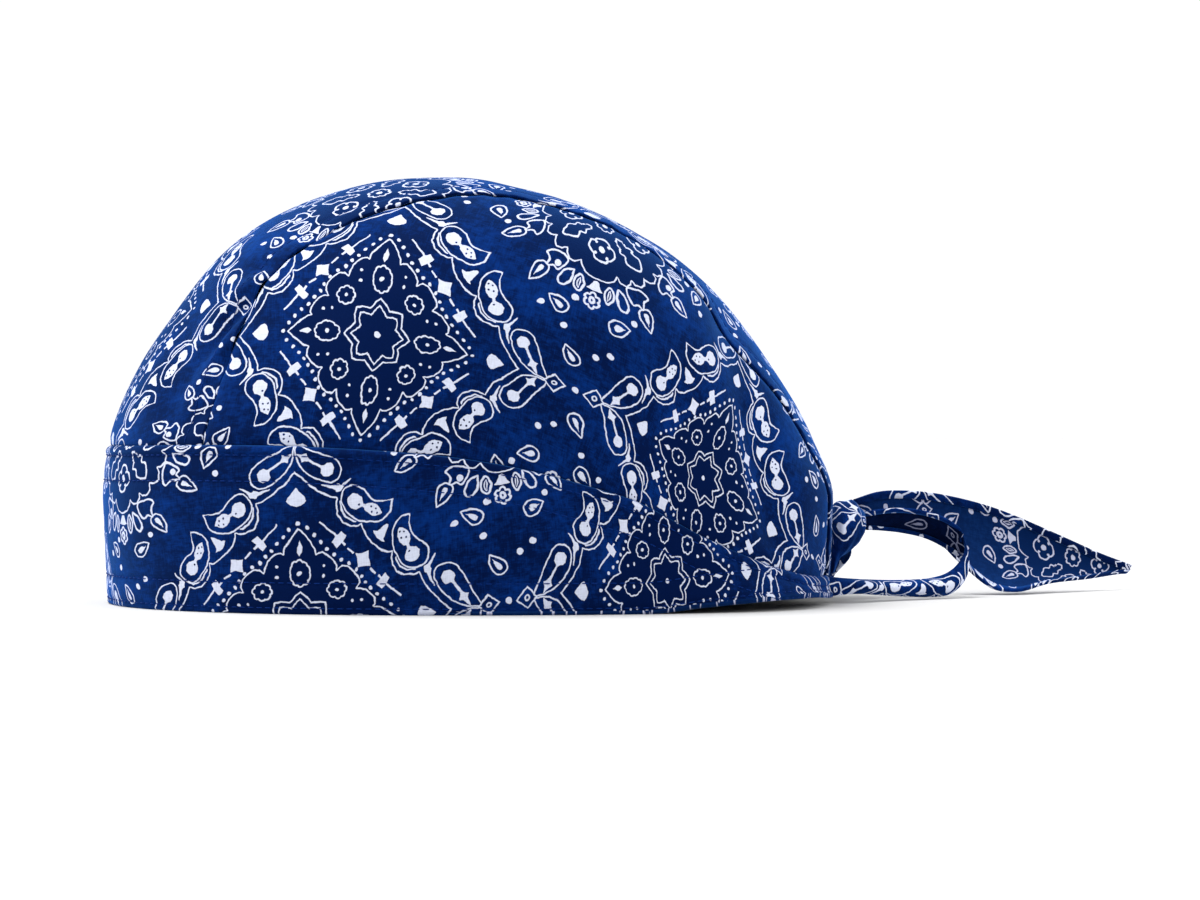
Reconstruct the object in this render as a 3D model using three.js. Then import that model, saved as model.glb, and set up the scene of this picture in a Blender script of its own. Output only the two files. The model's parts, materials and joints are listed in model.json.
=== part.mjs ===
// A bandana cap standing on its band: a centre strip from forehead to nape, a side panel on each
// side, a headband that tapers to the back, and two ties that meet in a half knot behind the crown.
// Millimetres, +Z up, the forehead towards -Y and the wearer's left towards +X. The cap is drawn
// about the middle of its crown on the table and is moved to its own middle on the last lines.

import * as THREE from 'three';

// ---------------------------------------------------------------- driving dimensions

const HALF_WIDTH = 84;            // from the middle of the crown to the widest point of its side
const TEMPLE = 30;                // height at which the crown's side stands upright
const LEAN = 0.012;               // part by which the wall draws in from the temple to the table
const CROWN_WALL = 1.2;           // one layer of cotton and its seam allowance
const BAND_WALL = 1.8;            // the band is folded double
const TIE_WALL = 1.6;
const SEAM = 0.4;                 // gap between the pieces along a seam
const WELT_RISE = 12;             // height over which the crown's wall turns level at the band
const FOLD_RISE = 9;              // height over which the folds fade out at the band
const FOLD_INNER = 18;            // a side's folds start this far out from the cap's middle
const FOLD_OUTER = 40;            // and have their full depth from here on
const FLARE_POWER = 1.5;          // the band flares mostly at its bottom edge
const SETTLE_POWER = 6;           // the strip's rows straighten quickly away from its two ends

// The crown's outline from the side: how far it reaches from the temple's height, at angles
// from the forehead (0) over the top (90) to the nape (180).
const OUTLINE = [
  { angle: 0, reach: 106.8 },
  { angle: 10, reach: 106.1 },
  { angle: 22, reach: 103.6 },
  { angle: 32, reach: 101.4 },
  { angle: 46, reach: 101.2 },
  { angle: 59, reach: 98.9 },
  { angle: 84, reach: 93.7 },
  { angle: 109, reach: 91.2 },
  { angle: 134, reach: 91.8 },
  { angle: 154.5, reach: 94.8 },
  { angle: 170, reach: 100.8 },
  { angle: 180, reach: 105.5 },
];

// How square the crown is from side to side: 2 is round, more is fuller at the shoulders.
const FULLNESS = [
  { angle: 0, power: 2.15 },
  { angle: 50, power: 2.3 },
  { angle: 90, power: 2.75 },
  { angle: 120, power: 2.85 },
  { angle: 150, power: 2.65 },
  { angle: 180, power: 2.5 },
];

// Half the centre strip's width, from the forehead over the top to the nape.
const STRIP = [
  { angle: 0, half: 60 },
  { angle: 20, half: 59 },
  { angle: 38, half: 54 },
  { angle: 50, half: 50.5 },
  { angle: 64, half: 50 },
  { angle: 80, half: 48 },
  { angle: 98, half: 43.5 },
  { angle: 113, half: 42.5 },
  { angle: 131, half: 45 },
  { angle: 150, half: 44.5 },
  { angle: 166, half: 39.5 },
  { angle: 180, half: 33 },
  { angle: 194, half: 30 },
];

// The band from the forehead to the nape: its top and bottom edge over the table, and how far
// its bottom edge flares out from the crown's wall.
const BAND = [
  { back: -110, top: 45.6, bottom: 0, flare: 0 },
  { back: -75, top: 46, bottom: 0, flare: 0 },
  { back: -48, top: 45.6, bottom: 0, flare: 0 },
  { back: -12, top: 43.2, bottom: 0, flare: 0.4 },
  { back: 10, top: 39.7, bottom: 0, flare: 0.8 },
  { back: 31, top: 34.2, bottom: 0, flare: 1.2 },
  { back: 43, top: 30.2, bottom: 0, flare: 1.8 },
  { back: 60, top: 21.3, bottom: 1.8, flare: 3.6 },
  { back: 77, top: 14, bottom: 3.2, flare: 5.6 },
  { back: 90, top: 9.9, bottom: 3.4, flare: 4.6 },
  { back: 101, top: 8.4, bottom: 2.4, flare: 1.6 },
];

// Soft folds and hollows of the crown, each a groove from one place to another as seen from the
// side; side is 1 on the wearer's left, -1 on the right and 0 across both.
const FOLDS = [
  { side: 1, back: 72, up: 80, toBack: 76, toUp: 56, depth: 2.4, spread: 6.5 },
  { side: 1, back: 76, up: 56, toBack: 81, toUp: 30, depth: 3.2, spread: 6 },
  { side: 1, back: 81, up: 30, toBack: 84, toUp: 17, depth: 3.0, spread: 6.5 },
  { side: 1, back: 84, up: 15, toBack: 96, toUp: 14, depth: 1.8, spread: 5 },
  { side: 1, back: -82, up: 76, toBack: -86, toUp: 54, depth: 1.5, spread: 6 },
  { side: -1, back: 70, up: 70, toBack: 80, toUp: 22, depth: 2.4, spread: 8 },
  { side: -1, back: -70, up: 84, toBack: -82, toUp: 56, depth: 1.6, spread: 7 },
  { side: 0, back: 14, up: 122, toBack: 48, toUp: 110, depth: 0.8, spread: 9 },
];

// The ties lie as bent strips. Each row is a section across the strip, its top edge, its middle
// and its bottom edge, given as [side, back, up].
const LEFT_TIE = [
  { top: [28.9, 100.6, 7.8], middle: [29, 101.2, 5.3], bottom: [29.3, 101.9, 2.6] },
  { top: [21, 109.2, 6.9], middle: [25, 111.3, 5.2], bottom: [24, 110.6, 2.6] },
  { top: [13, 117.2, 6.2], middle: [18, 119.2, 4.6], bottom: [17, 118.4, 1.9] },
  { top: [6, 127, 5.8], middle: [11.4, 128.6, 4], bottom: [10, 127.6, 1.1] },
  { top: [1, 136, 6.1], middle: [5.8, 137.6, 4], bottom: [4.6, 136.2, 0.7] },
  { top: [-2, 141.6, 7.4], middle: [1.8, 143, 4.6], bottom: [1, 141.8, 1.2] },
  { top: [-4.4, 145.6, 10.2], middle: [-1.4, 146.9, 6.8], bottom: [-1.8, 145.8, 3.6] },
  { top: [-7.6, 148.2, 14.2], middle: [-5.4, 149, 10.4], bottom: [-5.2, 148, 6.8] },
  { top: [-11.2, 147.6, 19], middle: [-9.2, 148.4, 14.8], bottom: [-8.4, 147.6, 10.9] },
  { top: [-13.6, 143.8, 22.5], middle: [-12, 144.4, 18], bottom: [-10.4, 144, 14.2] },
  { top: [-14.6, 137.4, 24.9], middle: [-12.8, 137.8, 21], bottom: [-10.4, 137.6, 17.8] },
  { top: [-13.8, 129.6, 26.1], middle: [-12, 130, 22.8], bottom: [-9.4, 129.8, 19.6] },
  { top: [-11.4, 123, 26], middle: [-9.6, 123, 23.2], bottom: [-7.4, 122.8, 20.4] },
  { top: [-8.8, 117.6, 25.4], middle: [-7, 117.9, 23], bottom: [-5.4, 117.9, 20.6] },
];
const RIGHT_TIE = [
  { top: [-29.2, 100.5, 7.6], middle: [-29.3, 101.1, 5.2], bottom: [-29.6, 101.8, 2.6] },
  { top: [-23.6, 104.3, 8.6], middle: [-23.8, 104.8, 5.6], bottom: [-23.6, 104.5, 1.6] },
  { top: [-15.6, 105.3, 10], middle: [-15.8, 106, 5.8], bottom: [-15.6, 105.5, 1.2] },
  { top: [-8.4, 105.9, 10.8], middle: [-8.4, 106.6, 6.8], bottom: [-8.6, 106.1, 2] },
  { top: [-3.7, 106.1, 11], middle: [-3.4, 106.6, 7.8], bottom: [-3.6, 106.3, 3.6] },
];
const RIGHT_TAIL = [
  { top: [-12.6, 115.2, 28.7], middle: [-13.4, 117.7, 25], bottom: [-13.6, 117.8, 21] },
  { top: [-16.8, 122.6, 30.8], middle: [-17.4, 123.4, 26], bottom: [-17.4, 124, 21.6] },
  { top: [-22, 129.6, 31.2], middle: [-22.2, 130.4, 26], bottom: [-20.4, 131.2, 20.6] },
  { top: [-27, 139.6, 30.5], middle: [-25.6, 140, 24], bottom: [-21.4, 140.6, 17.4] },
  { top: [-31, 149.6, 28.8], middle: [-28.4, 149.6, 19], bottom: [-20, 149, 9.4] },
  { top: [-35, 160.4, 26], middle: [-30.4, 159.6, 12.6], bottom: [-17.6, 158.2, 2] },
  { top: [-38.6, 169.8, 22.7], middle: [-32.6, 168.4, 9.2], bottom: [-17.4, 165.4, 0.9] },
  { top: [-43, 183.8, 16.9], middle: [-38.4, 181.4, 7.4], bottom: [-28, 178, 2.9] },
  { top: [-48, 197.8, 11], middle: [-45.6, 196, 6.6], bottom: [-41, 193.4, 3.8] },
  { top: [-52, 208.6, 7.2], middle: [-51.6, 207.8, 6.2], bottom: [-51, 206.8, 5.2] },
];
const LEFT_TAIL = [
  { top: [-20.4, 113.2, 23.8], middle: [-20.6, 113.8, 20.4], bottom: [-20, 114.2, 17.2] },
  { top: [-27, 112.6, 22], middle: [-27.6, 114.2, 16.6], bottom: [-27, 115.6, 11.6] },
  { top: [-34.4, 110.6, 17.6], middle: [-35.4, 113.4, 11], bottom: [-34.6, 116.8, 5.8] },
  { top: [-42, 107.6, 13], middle: [-43.6, 112, 6.4], bottom: [-43.4, 118.2, 1.8] },
  { top: [-50.6, 103.6, 10.2], middle: [-52.4, 109, 4], bottom: [-53.6, 116.6, 1.2] },
  { top: [-62, 97.2, 7.8], middle: [-64, 103, 3], bottom: [-66, 110.6, 1.2] },
  { top: [-74, 88.6, 6], middle: [-76, 93.4, 2.6], bottom: [-78.4, 99.6, 1.2] },
  { top: [-85.4, 79, 4.2], middle: [-86, 80.6, 2.4], bottom: [-86.8, 82.6, 1.2] },
];

// The half knot is one strip wound over the other: fat oval sections up the crown's back.
const KNOT = [
  { side: 1.2, back: 107, up: 8.4, wide: 8, deep: 2 },
  { side: 1.6, back: 108.6, up: 12.4, wide: 9.5, deep: 4.6 },
  { side: 0.8, back: 110.5, up: 17, wide: 11, deep: 8.2 },
  { side: -2.4, back: 111.6, up: 20.6, wide: 12.5, deep: 10.2 },
  { side: -7, back: 112, up: 22.4, wide: 12.8, deep: 10.8 },
  { side: -12, back: 112.2, up: 22.4, wide: 11.6, deep: 10.4 },
  { side: -16.4, back: 112.6, up: 21.4, wide: 9, deep: 8.4 },
  { side: -19, back: 112.8, up: 20.2, wide: 5.5, deep: 5 },
];

// How finely the pieces are faceted.
const SIDE_STEPS = 30;            // along a side panel's bottom edge, and along its top
const RISE_STEPS = 12;            // up a side panel's front and back
const STRIP_STEPS = 8;            // across the centre strip
const BAND_STEPS = 5;             // down the band
const TIE_STEPS = 4;              // across a tie
const KNOT_SIDES = 12;

// The places on the strip's seam where a side panel's patch has its upper corners.
const FRONT_SHOULDER = 62;
const BACK_SHOULDER = 124;

// How the form is searched: the farthest that a ray looks, how often it halves its span, the
// step that measures a slope, and the angles within which a seam comes down to the band.
const FAR = 200;
const HALVINGS = 44;
const SLOPE_STEP = 0.5;
const FRONT_START = 0;
const BACK_START = 200;
const SEAM_SPAN = 40;

// ---------------------------------------------------------------- reading the tables

// The value of one column at a place between two rows, on a smooth curve through the rows that
// goes no further than its highest and lowest rows.
function read(table, key, column, place) {
  const last = table.length - 1;
  const at = THREE.MathUtils.clamp(place, table[0][key], table[last][key]);
  let row = 0;
  while (row < last - 1 && at > table[row + 1][key]) row += 1;
  const slope = (index) => {
    const before = table[Math.max(index - 1, 0)];
    const after = table[Math.min(index + 1, last)];
    const here = table[index][column];
    if ((after[column] - here) * (here - before[column]) <= 0) return 0;
    return (after[column] - before[column]) / (after[key] - before[key]);
  };
  const span = table[row + 1][key] - table[row][key];
  const t = (at - table[row][key]) / span;
  const start = table[row][column];
  const change = table[row + 1][column] - start;
  const leaving = slope(row) * span - change;
  const arriving = change - slope(row + 1) * span;
  return start + change * t + t * (1 - t) * ((1 - t) * leaving + t * arriving);
}

// A point at t between rows of points, on a smooth curve through them.
function between(rows, t) {
  const curve = new THREE.CatmullRomCurve3(rows, false, 'centripetal');
  return curve.getPoint(t);
}

// ---------------------------------------------------------------- the crown's form

// Below zero inside the crown's outer surface, above zero outside it.
function outsideness(point) {
  const high = point.z >= TEMPLE;
  const draw = high ? 1 : 1 - LEAN * (TEMPLE - point.z) / TEMPLE;
  const rise = high ? point.z - TEMPLE : 0;
  const angle = THREE.MathUtils.radToDeg(Math.atan2(rise, -point.y));
  const power = read(FULLNESS, 'angle', 'power', angle);
  const reach = read(OUTLINE, 'angle', 'reach', angle) * draw;
  const across = Math.abs(point.x) / (HALF_WIDTH * draw);
  const around = Math.hypot(point.y, rise) / reach;
  return across ** power + around ** power - 1;
}

// Where a ray from a point inside the crown meets its surface.
function meet(from, direction) {
  const point = new THREE.Vector3();
  let near = 0;
  let far = FAR;
  for (let halving = 0; halving < HALVINGS; halving += 1) {
    const middle = (near + far) / 2;
    point.copy(from).addScaledVector(direction, middle);
    if (outsideness(point) < 0) near = middle;
    else far = middle;
  }
  return point;
}

// The direction straight out of the crown, turned level close to the band's top edge.
function outward(point) {
  const slope = (axis) => {
    const ahead = point.clone();
    const behind = point.clone();
    ahead[axis] += SLOPE_STEP;
    behind[axis] -= SLOPE_STEP;
    return outsideness(ahead) - outsideness(behind);
  };
  const direction = new THREE.Vector3(slope('x'), slope('y'), slope('z')).normalize();
  const aboveBand = point.z - read(BAND, 'back', 'top', point.y);
  direction.z *= THREE.MathUtils.clamp(aboveBand / WELT_RISE, 0, 1);
  return direction.normalize();
}

// How far the folds pull the surface in at a point.
function foldDepth(point) {
  let depth = 0;
  for (const fold of FOLDS) {
    if (fold.side * point.x < 0) continue;
    const alongBack = fold.toBack - fold.back;
    const alongUp = fold.toUp - fold.up;
    const fromBack = point.y - fold.back;
    const fromUp = point.z - fold.up;
    const length = alongBack ** 2 + alongUp ** 2;
    const t = THREE.MathUtils.clamp((fromBack * alongBack + fromUp * alongUp) / length, 0, 1);
    const away = Math.hypot(fromBack - t * alongBack, fromUp - t * alongUp);
    const pull = fold.depth * Math.exp(-((away / fold.spread) ** 2));
    const sided = THREE.MathUtils.smoothstep(Math.abs(point.x), FOLD_INNER, FOLD_OUTER);
    const beside = fold.side === 0 ? 1 : sided;
    depth = Math.max(depth, pull * beside);
  }
  const aboveBand = point.z - read(BAND, 'back', 'top', point.y);
  return depth * THREE.MathUtils.smoothstep(aboveBand, 0, FOLD_RISE);
}

// The crown at an angle round its outline and a distance out to the side.
function crownAt(angle, side) {
  const turn = THREE.MathUtils.degToRad(angle);
  const ray = new THREE.Vector3(0, -Math.cos(turn), Math.sin(turn));
  return meet(new THREE.Vector3(side, 0, TEMPLE), ray);
}

// The crown's side at a place along it and a height.
function sideAt(back, up) {
  return meet(new THREE.Vector3(0, back, up), new THREE.Vector3(1, 0, 0));
}

// The crown's front or back at a distance out to the side and a height.
function endAt(side, up, facing) {
  return meet(new THREE.Vector3(side, 0, up), new THREE.Vector3(0, facing, 0));
}

// ---------------------------------------------------------------- closed shells

// A closed solid between two grids of points that face each other.
function shell(outer, inner) {
  const rows = outer.length;
  const columns = outer[0].length;
  const corners = [...outer.flat(), ...inner.flat()];
  const positions = corners.flatMap((corner) => [corner.x, corner.y, corner.z]);
  const front = (row, column) => row * columns + column;
  const back = (row, column) => rows * columns + row * columns + column;
  const faces = [];
  const quad = (a, b, c, d) => faces.push(a, b, c, a, c, d);
  for (let r = 0; r < rows - 1; r += 1) {
    for (let c = 0; c < columns - 1; c += 1) {
      quad(front(r, c), front(r, c + 1), front(r + 1, c + 1), front(r + 1, c));
      quad(back(r, c), back(r + 1, c), back(r + 1, c + 1), back(r, c + 1));
    }
  }
  for (let c = 0; c < columns - 1; c += 1) {
    quad(front(0, c + 1), front(0, c), back(0, c), back(0, c + 1));
    quad(front(rows - 1, c), front(rows - 1, c + 1), back(rows - 1, c + 1), back(rows - 1, c));
  }
  for (let r = 0; r < rows - 1; r += 1) {
    quad(front(r, 0), front(r + 1, 0), back(r + 1, 0), back(r, 0));
    quad(front(r + 1, columns - 1), front(r, columns - 1), back(r, columns - 1), back(r + 1, columns - 1));
  }
  return closed(positions, faces);
}

// A geometry from points and faces, turned so that its faces point out.
function closed(positions, faces) {
  const corner = (index) => new THREE.Vector3().fromArray(positions, index * 3);
  let volume = 0;
  for (let f = 0; f < faces.length; f += 3) {
    const [a, b, c] = [corner(faces[f]), corner(faces[f + 1]), corner(faces[f + 2])];
    volume += a.dot(b.cross(c));
  }
  if (volume < 0) faces.reverse();
  const geometry = new THREE.BufferGeometry();
  geometry.setAttribute('position', new THREE.Float32BufferAttribute(positions, 3));
  geometry.setIndex(faces);
  geometry.computeVertexNormals();
  return geometry;
}

// A wall whose outer face follows the crown's form and its folds.
function crownWall(grid, thickness) {
  const layer = (inset) => grid.map((row) => row.map((point) => (
    point.clone().addScaledVector(outward(point), -inset - foldDepth(point))
  )));
  return shell(layer(0), layer(thickness));
}

// ---------------------------------------------------------------- the seams

// The strip's seam on the wearer's left, set a little to one side for the gap.
function seamPoint(angle, shift) {
  return crownAt(angle, read(STRIP, 'angle', 'half', angle) + shift);
}

// The angle at which the seam comes down to a height, in front (0) or at the back (180).
function seamAngle(height, start, towards) {
  let low = start;
  let high = start + towards * SEAM_SPAN;
  for (let halving = 0; halving < HALVINGS; halving += 1) {
    const middle = (low + high) / 2;
    const point = seamPoint(middle, 0);
    if (point.z < height(point.y)) low = middle;
    else high = middle;
  }
  return low;
}

const bandTop = (back) => read(BAND, 'back', 'top', back);
const FRONT_CORNER = seamAngle(bandTop, FRONT_START, 1);
const BACK_CORNER = seamAngle(bandTop, BACK_START, -1);

// The stations along the seam, which both pieces share so that the gap stays even.
function stations(start, end, steps) {
  return Array.from({ length: steps + 1 }, (_, index) => start + (end - start) * index / steps);
}
const FRONT_RISE = stations(FRONT_CORNER, FRONT_SHOULDER, RISE_STEPS);
const TOP_RUN = stations(FRONT_SHOULDER, BACK_SHOULDER, SIDE_STEPS);
const BACK_RISE = stations(BACK_CORNER, BACK_SHOULDER, RISE_STEPS);

// The stations along the band's top edge beside a side panel, from front corner to back corner.
const FRONT_SEAM_END = seamPoint(FRONT_CORNER, 0);
const BACK_SEAM_END = seamPoint(BACK_CORNER, 0);
const SIDE_RUN = stations(FRONT_SEAM_END.y, BACK_SEAM_END.y, SIDE_STEPS);
const NAPE_HEM = bandTop(BACK_SEAM_END.y);

// ---------------------------------------------------------------- the crown's panels

// The angles of the strip's front edge on the band and of its hem at the nape.
function frontAngle(share) {
  const point = endAt(share * FRONT_SEAM_END.x, bandTop(FRONT_SEAM_END.y) + SEAM / 2, -1);
  return THREE.MathUtils.radToDeg(Math.atan2(point.z - TEMPLE, -point.y));
}
function backAngle(share) {
  const point = endAt(share * BACK_SEAM_END.x, NAPE_HEM, 1);
  return 180 + THREE.MathUtils.radToDeg(Math.atan2(TEMPLE - point.z, point.y));
}

// The strip runs between its seams, with its front on the band and its back on the nape hem.
function centrePanel() {
  const angles = [...FRONT_RISE, ...TOP_RUN.slice(1), ...BACK_RISE.slice(0, -1).reverse()];
  const last = angles.length - 1;
  const across = stations(-1, 1, STRIP_STEPS);
  const grid = angles.map((angle, row) => across.map((share) => {
    const half = read(STRIP, 'angle', 'half', angle) - SEAM / 2;
    const t = row / last;
    const front = frontAngle(share) - frontAngle(1);
    const back = backAngle(share) - backAngle(1);
    const settle = front * (1 - t) ** SETTLE_POWER + back * t ** SETTLE_POWER;
    return crownAt(angle + settle, share * half);
  }));
  return crownWall(grid, CROWN_WALL);
}

// A direction from the temple axis, flattened on to a plane like a map seen from the side.
function toMap(point) {
  const turn = Math.atan2(Math.hypot(point.y, point.z - TEMPLE), point.x);
  const around = Math.atan2(point.z - TEMPLE, point.y);
  return new THREE.Vector2(turn * Math.cos(around), turn * Math.sin(around));
}
function fromMap(place) {
  const turn = place.length();
  const around = Math.atan2(place.y, place.x);
  const out = Math.sin(turn);
  const ray = new THREE.Vector3(Math.cos(turn), out * Math.cos(around), out * Math.sin(around));
  return meet(new THREE.Vector3(0, 0, TEMPLE), ray);
}

// A side panel fills the space between the band and the strip's seam. Its inside is drawn
// across the map from its four edges.
function sidePanel(side) {
  const edge = (points) => points.map((point) => toMap(point));
  const gap = SEAM / 2;
  const bottom = edge(SIDE_RUN.map((back) => sideAt(back, bandTop(back) + gap)));
  const top = edge(TOP_RUN.map((angle) => seamPoint(angle, gap)));
  const front = edge(FRONT_RISE.map((angle) => seamPoint(angle, gap)));
  const back = edge(BACK_RISE.map((angle) => seamPoint(angle, gap)));
  const grid = front.map((_, row) => bottom.map((__, column) => {
    const u = column / SIDE_STEPS;
    const v = row / RISE_STEPS;
    const place = new THREE.Vector2();
    place.addScaledVector(bottom[column], 1 - v).addScaledVector(top[column], v);
    place.addScaledVector(front[row], 1 - u).addScaledVector(back[row], u);
    place.addScaledVector(front[0], -(1 - u) * (1 - v)).addScaledVector(back[0], -u * (1 - v));
    place.addScaledVector(top[0], -(1 - u) * v).addScaledVector(top[SIDE_STEPS], -u * v);
    const point = fromMap(place);
    point.x *= side;
    return point;
  }));
  return crownWall(grid, CROWN_WALL);
}

// ---------------------------------------------------------------- the band

// The band goes from the nape's right corner round the forehead to its left corner. Each column
// starts at its top edge and runs down the wall, flaring out where the band turns to the ties.
function headband() {
  const left = SIDE_RUN.map((back) => sideAt(back, bandTop(back)));
  const right = left.map((point) => new THREE.Vector3(-point.x, point.y, point.z));
  const half = FRONT_SEAM_END.x;
  const across = stations(-1, 1, STRIP_STEPS).slice(1, -1);
  const forehead = bandTop(FRONT_SEAM_END.y);
  const front = across.map((share) => endAt(share * half, forehead, -1));
  const top = [...right.reverse(), ...front, ...left];
  const layer = (inset) => top.map((point) => {
    const edge = bandTop(point.y) - SEAM / 2;
    const foot = read(BAND, 'back', 'bottom', point.y);
    const flare = read(BAND, 'back', 'flare', point.y);
    const ray = new THREE.Vector3(point.x, point.y, 0).normalize();
    return stations(0, 1, BAND_STEPS).map((t) => {
      const height = THREE.MathUtils.lerp(edge, foot, t);
      const wall = meet(new THREE.Vector3(0, 0, height), ray);
      const level = outward(wall).setZ(0).normalize();
      return wall.addScaledVector(level, flare * t ** FLARE_POWER - inset);
    });
  });
  return shell(layer(0), layer(BAND_WALL));
}

// ---------------------------------------------------------------- the ties and their knot

// A strip of cloth through its sections, each bent through its top, middle and bottom.
function strip(sections, refine) {
  const points = (column) => sections.map((section) => new THREE.Vector3(...section[column]));
  const [top, middle, bottom] = [points('top'), points('middle'), points('bottom')];
  const steps = (sections.length - 1) * refine;
  const grid = stations(0, 1, steps).map((t) => {
    const [a, b, c] = [between(top, t), between(middle, t), between(bottom, t)];
    return stations(0, 1, TIE_STEPS).map((v) => {
      const point = a.clone().multiplyScalar((1 - v) * (1 - 2 * v));
      return point.addScaledVector(b, 4 * v * (1 - v)).addScaledVector(c, v * (2 * v - 1));
    });
  });
  const across = (r, c) => grid[r][Math.min(c + 1, TIE_STEPS)].clone().sub(grid[r][Math.max(c - 1, 0)]);
  const along = (r, c) => grid[Math.min(r + 1, steps)][c].clone().sub(grid[Math.max(r - 1, 0)][c]);
  const layer = (lift) => grid.map((row, r) => row.map((point, c) => {
    const face = along(r, c).cross(across(r, c)).normalize();
    return point.clone().addScaledVector(face, lift);
  }));
  return shell(layer(TIE_WALL / 2), layer(-TIE_WALL / 2));
}

// The knot is lofted through ovals that stand square to its path and closed at both ends.
function knot() {
  const path = KNOT.map((row) => new THREE.Vector3(row.side, row.back, row.up));
  const positions = [];
  path.forEach((centre, index) => {
    const row = KNOT[index];
    const ahead = path[Math.min(index + 1, path.length - 1)];
    const behind = path[Math.max(index - 1, 0)];
    const course = ahead.clone().sub(behind).normalize();
    const wide = new THREE.Vector3(0, 1, 0).cross(course).normalize();
    const deep = course.clone().cross(wide).normalize();
    for (let corner = 0; corner < KNOT_SIDES; corner += 1) {
      const turn = corner * 2 * Math.PI / KNOT_SIDES;
      const point = centre.clone().addScaledVector(wide, Math.cos(turn) * row.wide / 2);
      point.addScaledVector(deep, Math.sin(turn) * row.deep / 2);
      positions.push(point.x, point.y, point.z);
    }
  });
  const faces = [];
  for (let ring = 0; ring < path.length - 1; ring += 1) {
    for (let corner = 0; corner < KNOT_SIDES; corner += 1) {
      const next = (corner + 1) % KNOT_SIDES;
      const [low, high] = [ring * KNOT_SIDES, (ring + 1) * KNOT_SIDES];
      faces.push(low + corner, low + next, high + next, low + corner, high + next, high + corner);
    }
  }
  const end = (path.length - 1) * KNOT_SIDES;
  for (let corner = 1; corner < KNOT_SIDES - 1; corner += 1) {
    faces.push(0, corner + 1, corner, end, end + corner, end + corner + 1);
  }
  return closed(positions, faces);
}

// ---------------------------------------------------------------- the cap

function cloth(colour) {
  return new THREE.MeshStandardMaterial({ color: colour, roughness: 0.9, metalness: 0 });
}

function piece(name, geometry, colour) {
  const mesh = new THREE.Mesh(geometry, cloth(colour));
  mesh.name = name;
  return mesh;
}

const cap = new THREE.Group();
cap.add(piece('centre_panel', centrePanel(), 0x16377f));
cap.add(piece('left_panel', sidePanel(1), 0x14337a));
cap.add(piece('right_panel', sidePanel(-1), 0x14337a));
cap.add(piece('band', headband(), 0x173a86));
cap.add(piece('left_tie', strip(LEFT_TIE, 2), 0x173a86));
cap.add(piece('right_tie', strip(RIGHT_TIE, 2), 0x173a86));
cap.add(piece('tie_knot', knot(), 0x16377f));
cap.add(piece('left_tail', strip(LEFT_TAIL, 2), 0x173a86));
cap.add(piece('right_tail', strip(RIGHT_TAIL, 2), 0x173a86));

// The origin is the middle of the cap's own box, on the table.
const box = new THREE.Box3().setFromObject(cap);
cap.position.set(-(box.min.x + box.max.x) / 2, -(box.min.y + box.max.y) / 2, -box.min.z);
cap.updateMatrixWorld(true);

export default cap;
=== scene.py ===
# %% [markdown]
# # A bandana cap in printed blue cotton
# The real cap is sewn from flat cotton: a strip from the forehead to the nape, a panel on each
# side, a band folded double round the head, and two ties that meet in a half knot at the back.
# A scene like this could be sculpted, or simulated from flat patterns. Here each piece is a
# grid that is laid on the cap's form by a few formulas, because the form and every seam then
# stay where the frame has them, and each piece keeps the flat cloth's own coordinates.

# %% Load the frame
import json
import bpy
import numpy as np
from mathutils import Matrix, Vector

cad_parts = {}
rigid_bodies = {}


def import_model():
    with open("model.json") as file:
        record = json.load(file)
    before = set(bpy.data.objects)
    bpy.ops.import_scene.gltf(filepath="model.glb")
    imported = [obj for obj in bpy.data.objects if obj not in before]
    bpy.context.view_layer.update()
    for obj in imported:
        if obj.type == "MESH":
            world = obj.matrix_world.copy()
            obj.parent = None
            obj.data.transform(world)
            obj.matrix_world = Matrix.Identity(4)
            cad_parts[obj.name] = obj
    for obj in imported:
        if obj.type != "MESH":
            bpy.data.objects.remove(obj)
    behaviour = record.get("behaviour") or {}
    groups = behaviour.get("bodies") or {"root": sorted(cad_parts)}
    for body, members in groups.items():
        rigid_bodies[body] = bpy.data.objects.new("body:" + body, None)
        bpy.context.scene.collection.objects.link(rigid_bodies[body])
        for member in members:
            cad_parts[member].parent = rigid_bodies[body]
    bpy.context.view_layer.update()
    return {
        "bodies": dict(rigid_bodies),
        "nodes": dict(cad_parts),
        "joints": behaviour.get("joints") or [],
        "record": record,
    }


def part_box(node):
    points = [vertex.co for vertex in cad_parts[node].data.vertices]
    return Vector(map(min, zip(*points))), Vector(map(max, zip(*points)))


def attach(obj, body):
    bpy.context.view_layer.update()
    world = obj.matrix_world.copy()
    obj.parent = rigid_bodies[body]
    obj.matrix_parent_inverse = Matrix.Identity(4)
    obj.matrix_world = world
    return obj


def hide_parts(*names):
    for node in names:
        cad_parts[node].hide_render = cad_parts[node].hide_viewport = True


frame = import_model()

# %% [markdown]
# ## Where the cap stands
# The cap's form is easiest to write about the middle of its crown, in millimetres, with the
# forehead towards -Y. The frame has its origin under the middle of the whole cap, ties
# included, in metres. The shift between the two is read from the frame's own pieces, so the
# scene follows them.

# %% The shift from the crown's middle to the frame
FOREHEAD = 106.8                  # from the crown's middle to the front, in millimetres
MM = 0.001


def box_of(node):
    low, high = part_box(node)
    return np.array(low) / MM, np.array(high) / MM


MIDDLE = (box_of("left_panel")[1][0] + box_of("right_panel")[0][0]) / 2
SHIFT = np.array([MIDDLE, box_of("band")[0][1] + FOREHEAD, 0.0])


def placed(points):
    """Points about the crown's middle in millimetres, moved to the frame in metres."""
    return (np.asarray(points, float) + SHIFT) * MM


print("shift in millimetres", SHIFT.round(3))

# %% [markdown]
# ## Camera
# A cap is shown from its side, a little in front of it and at its own height, through a long
# lens that keeps the band's edge almost straight. A camera could be parented to a target, but
# one look direction turned into a rotation is shorter and leaves no constraint behind.

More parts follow.
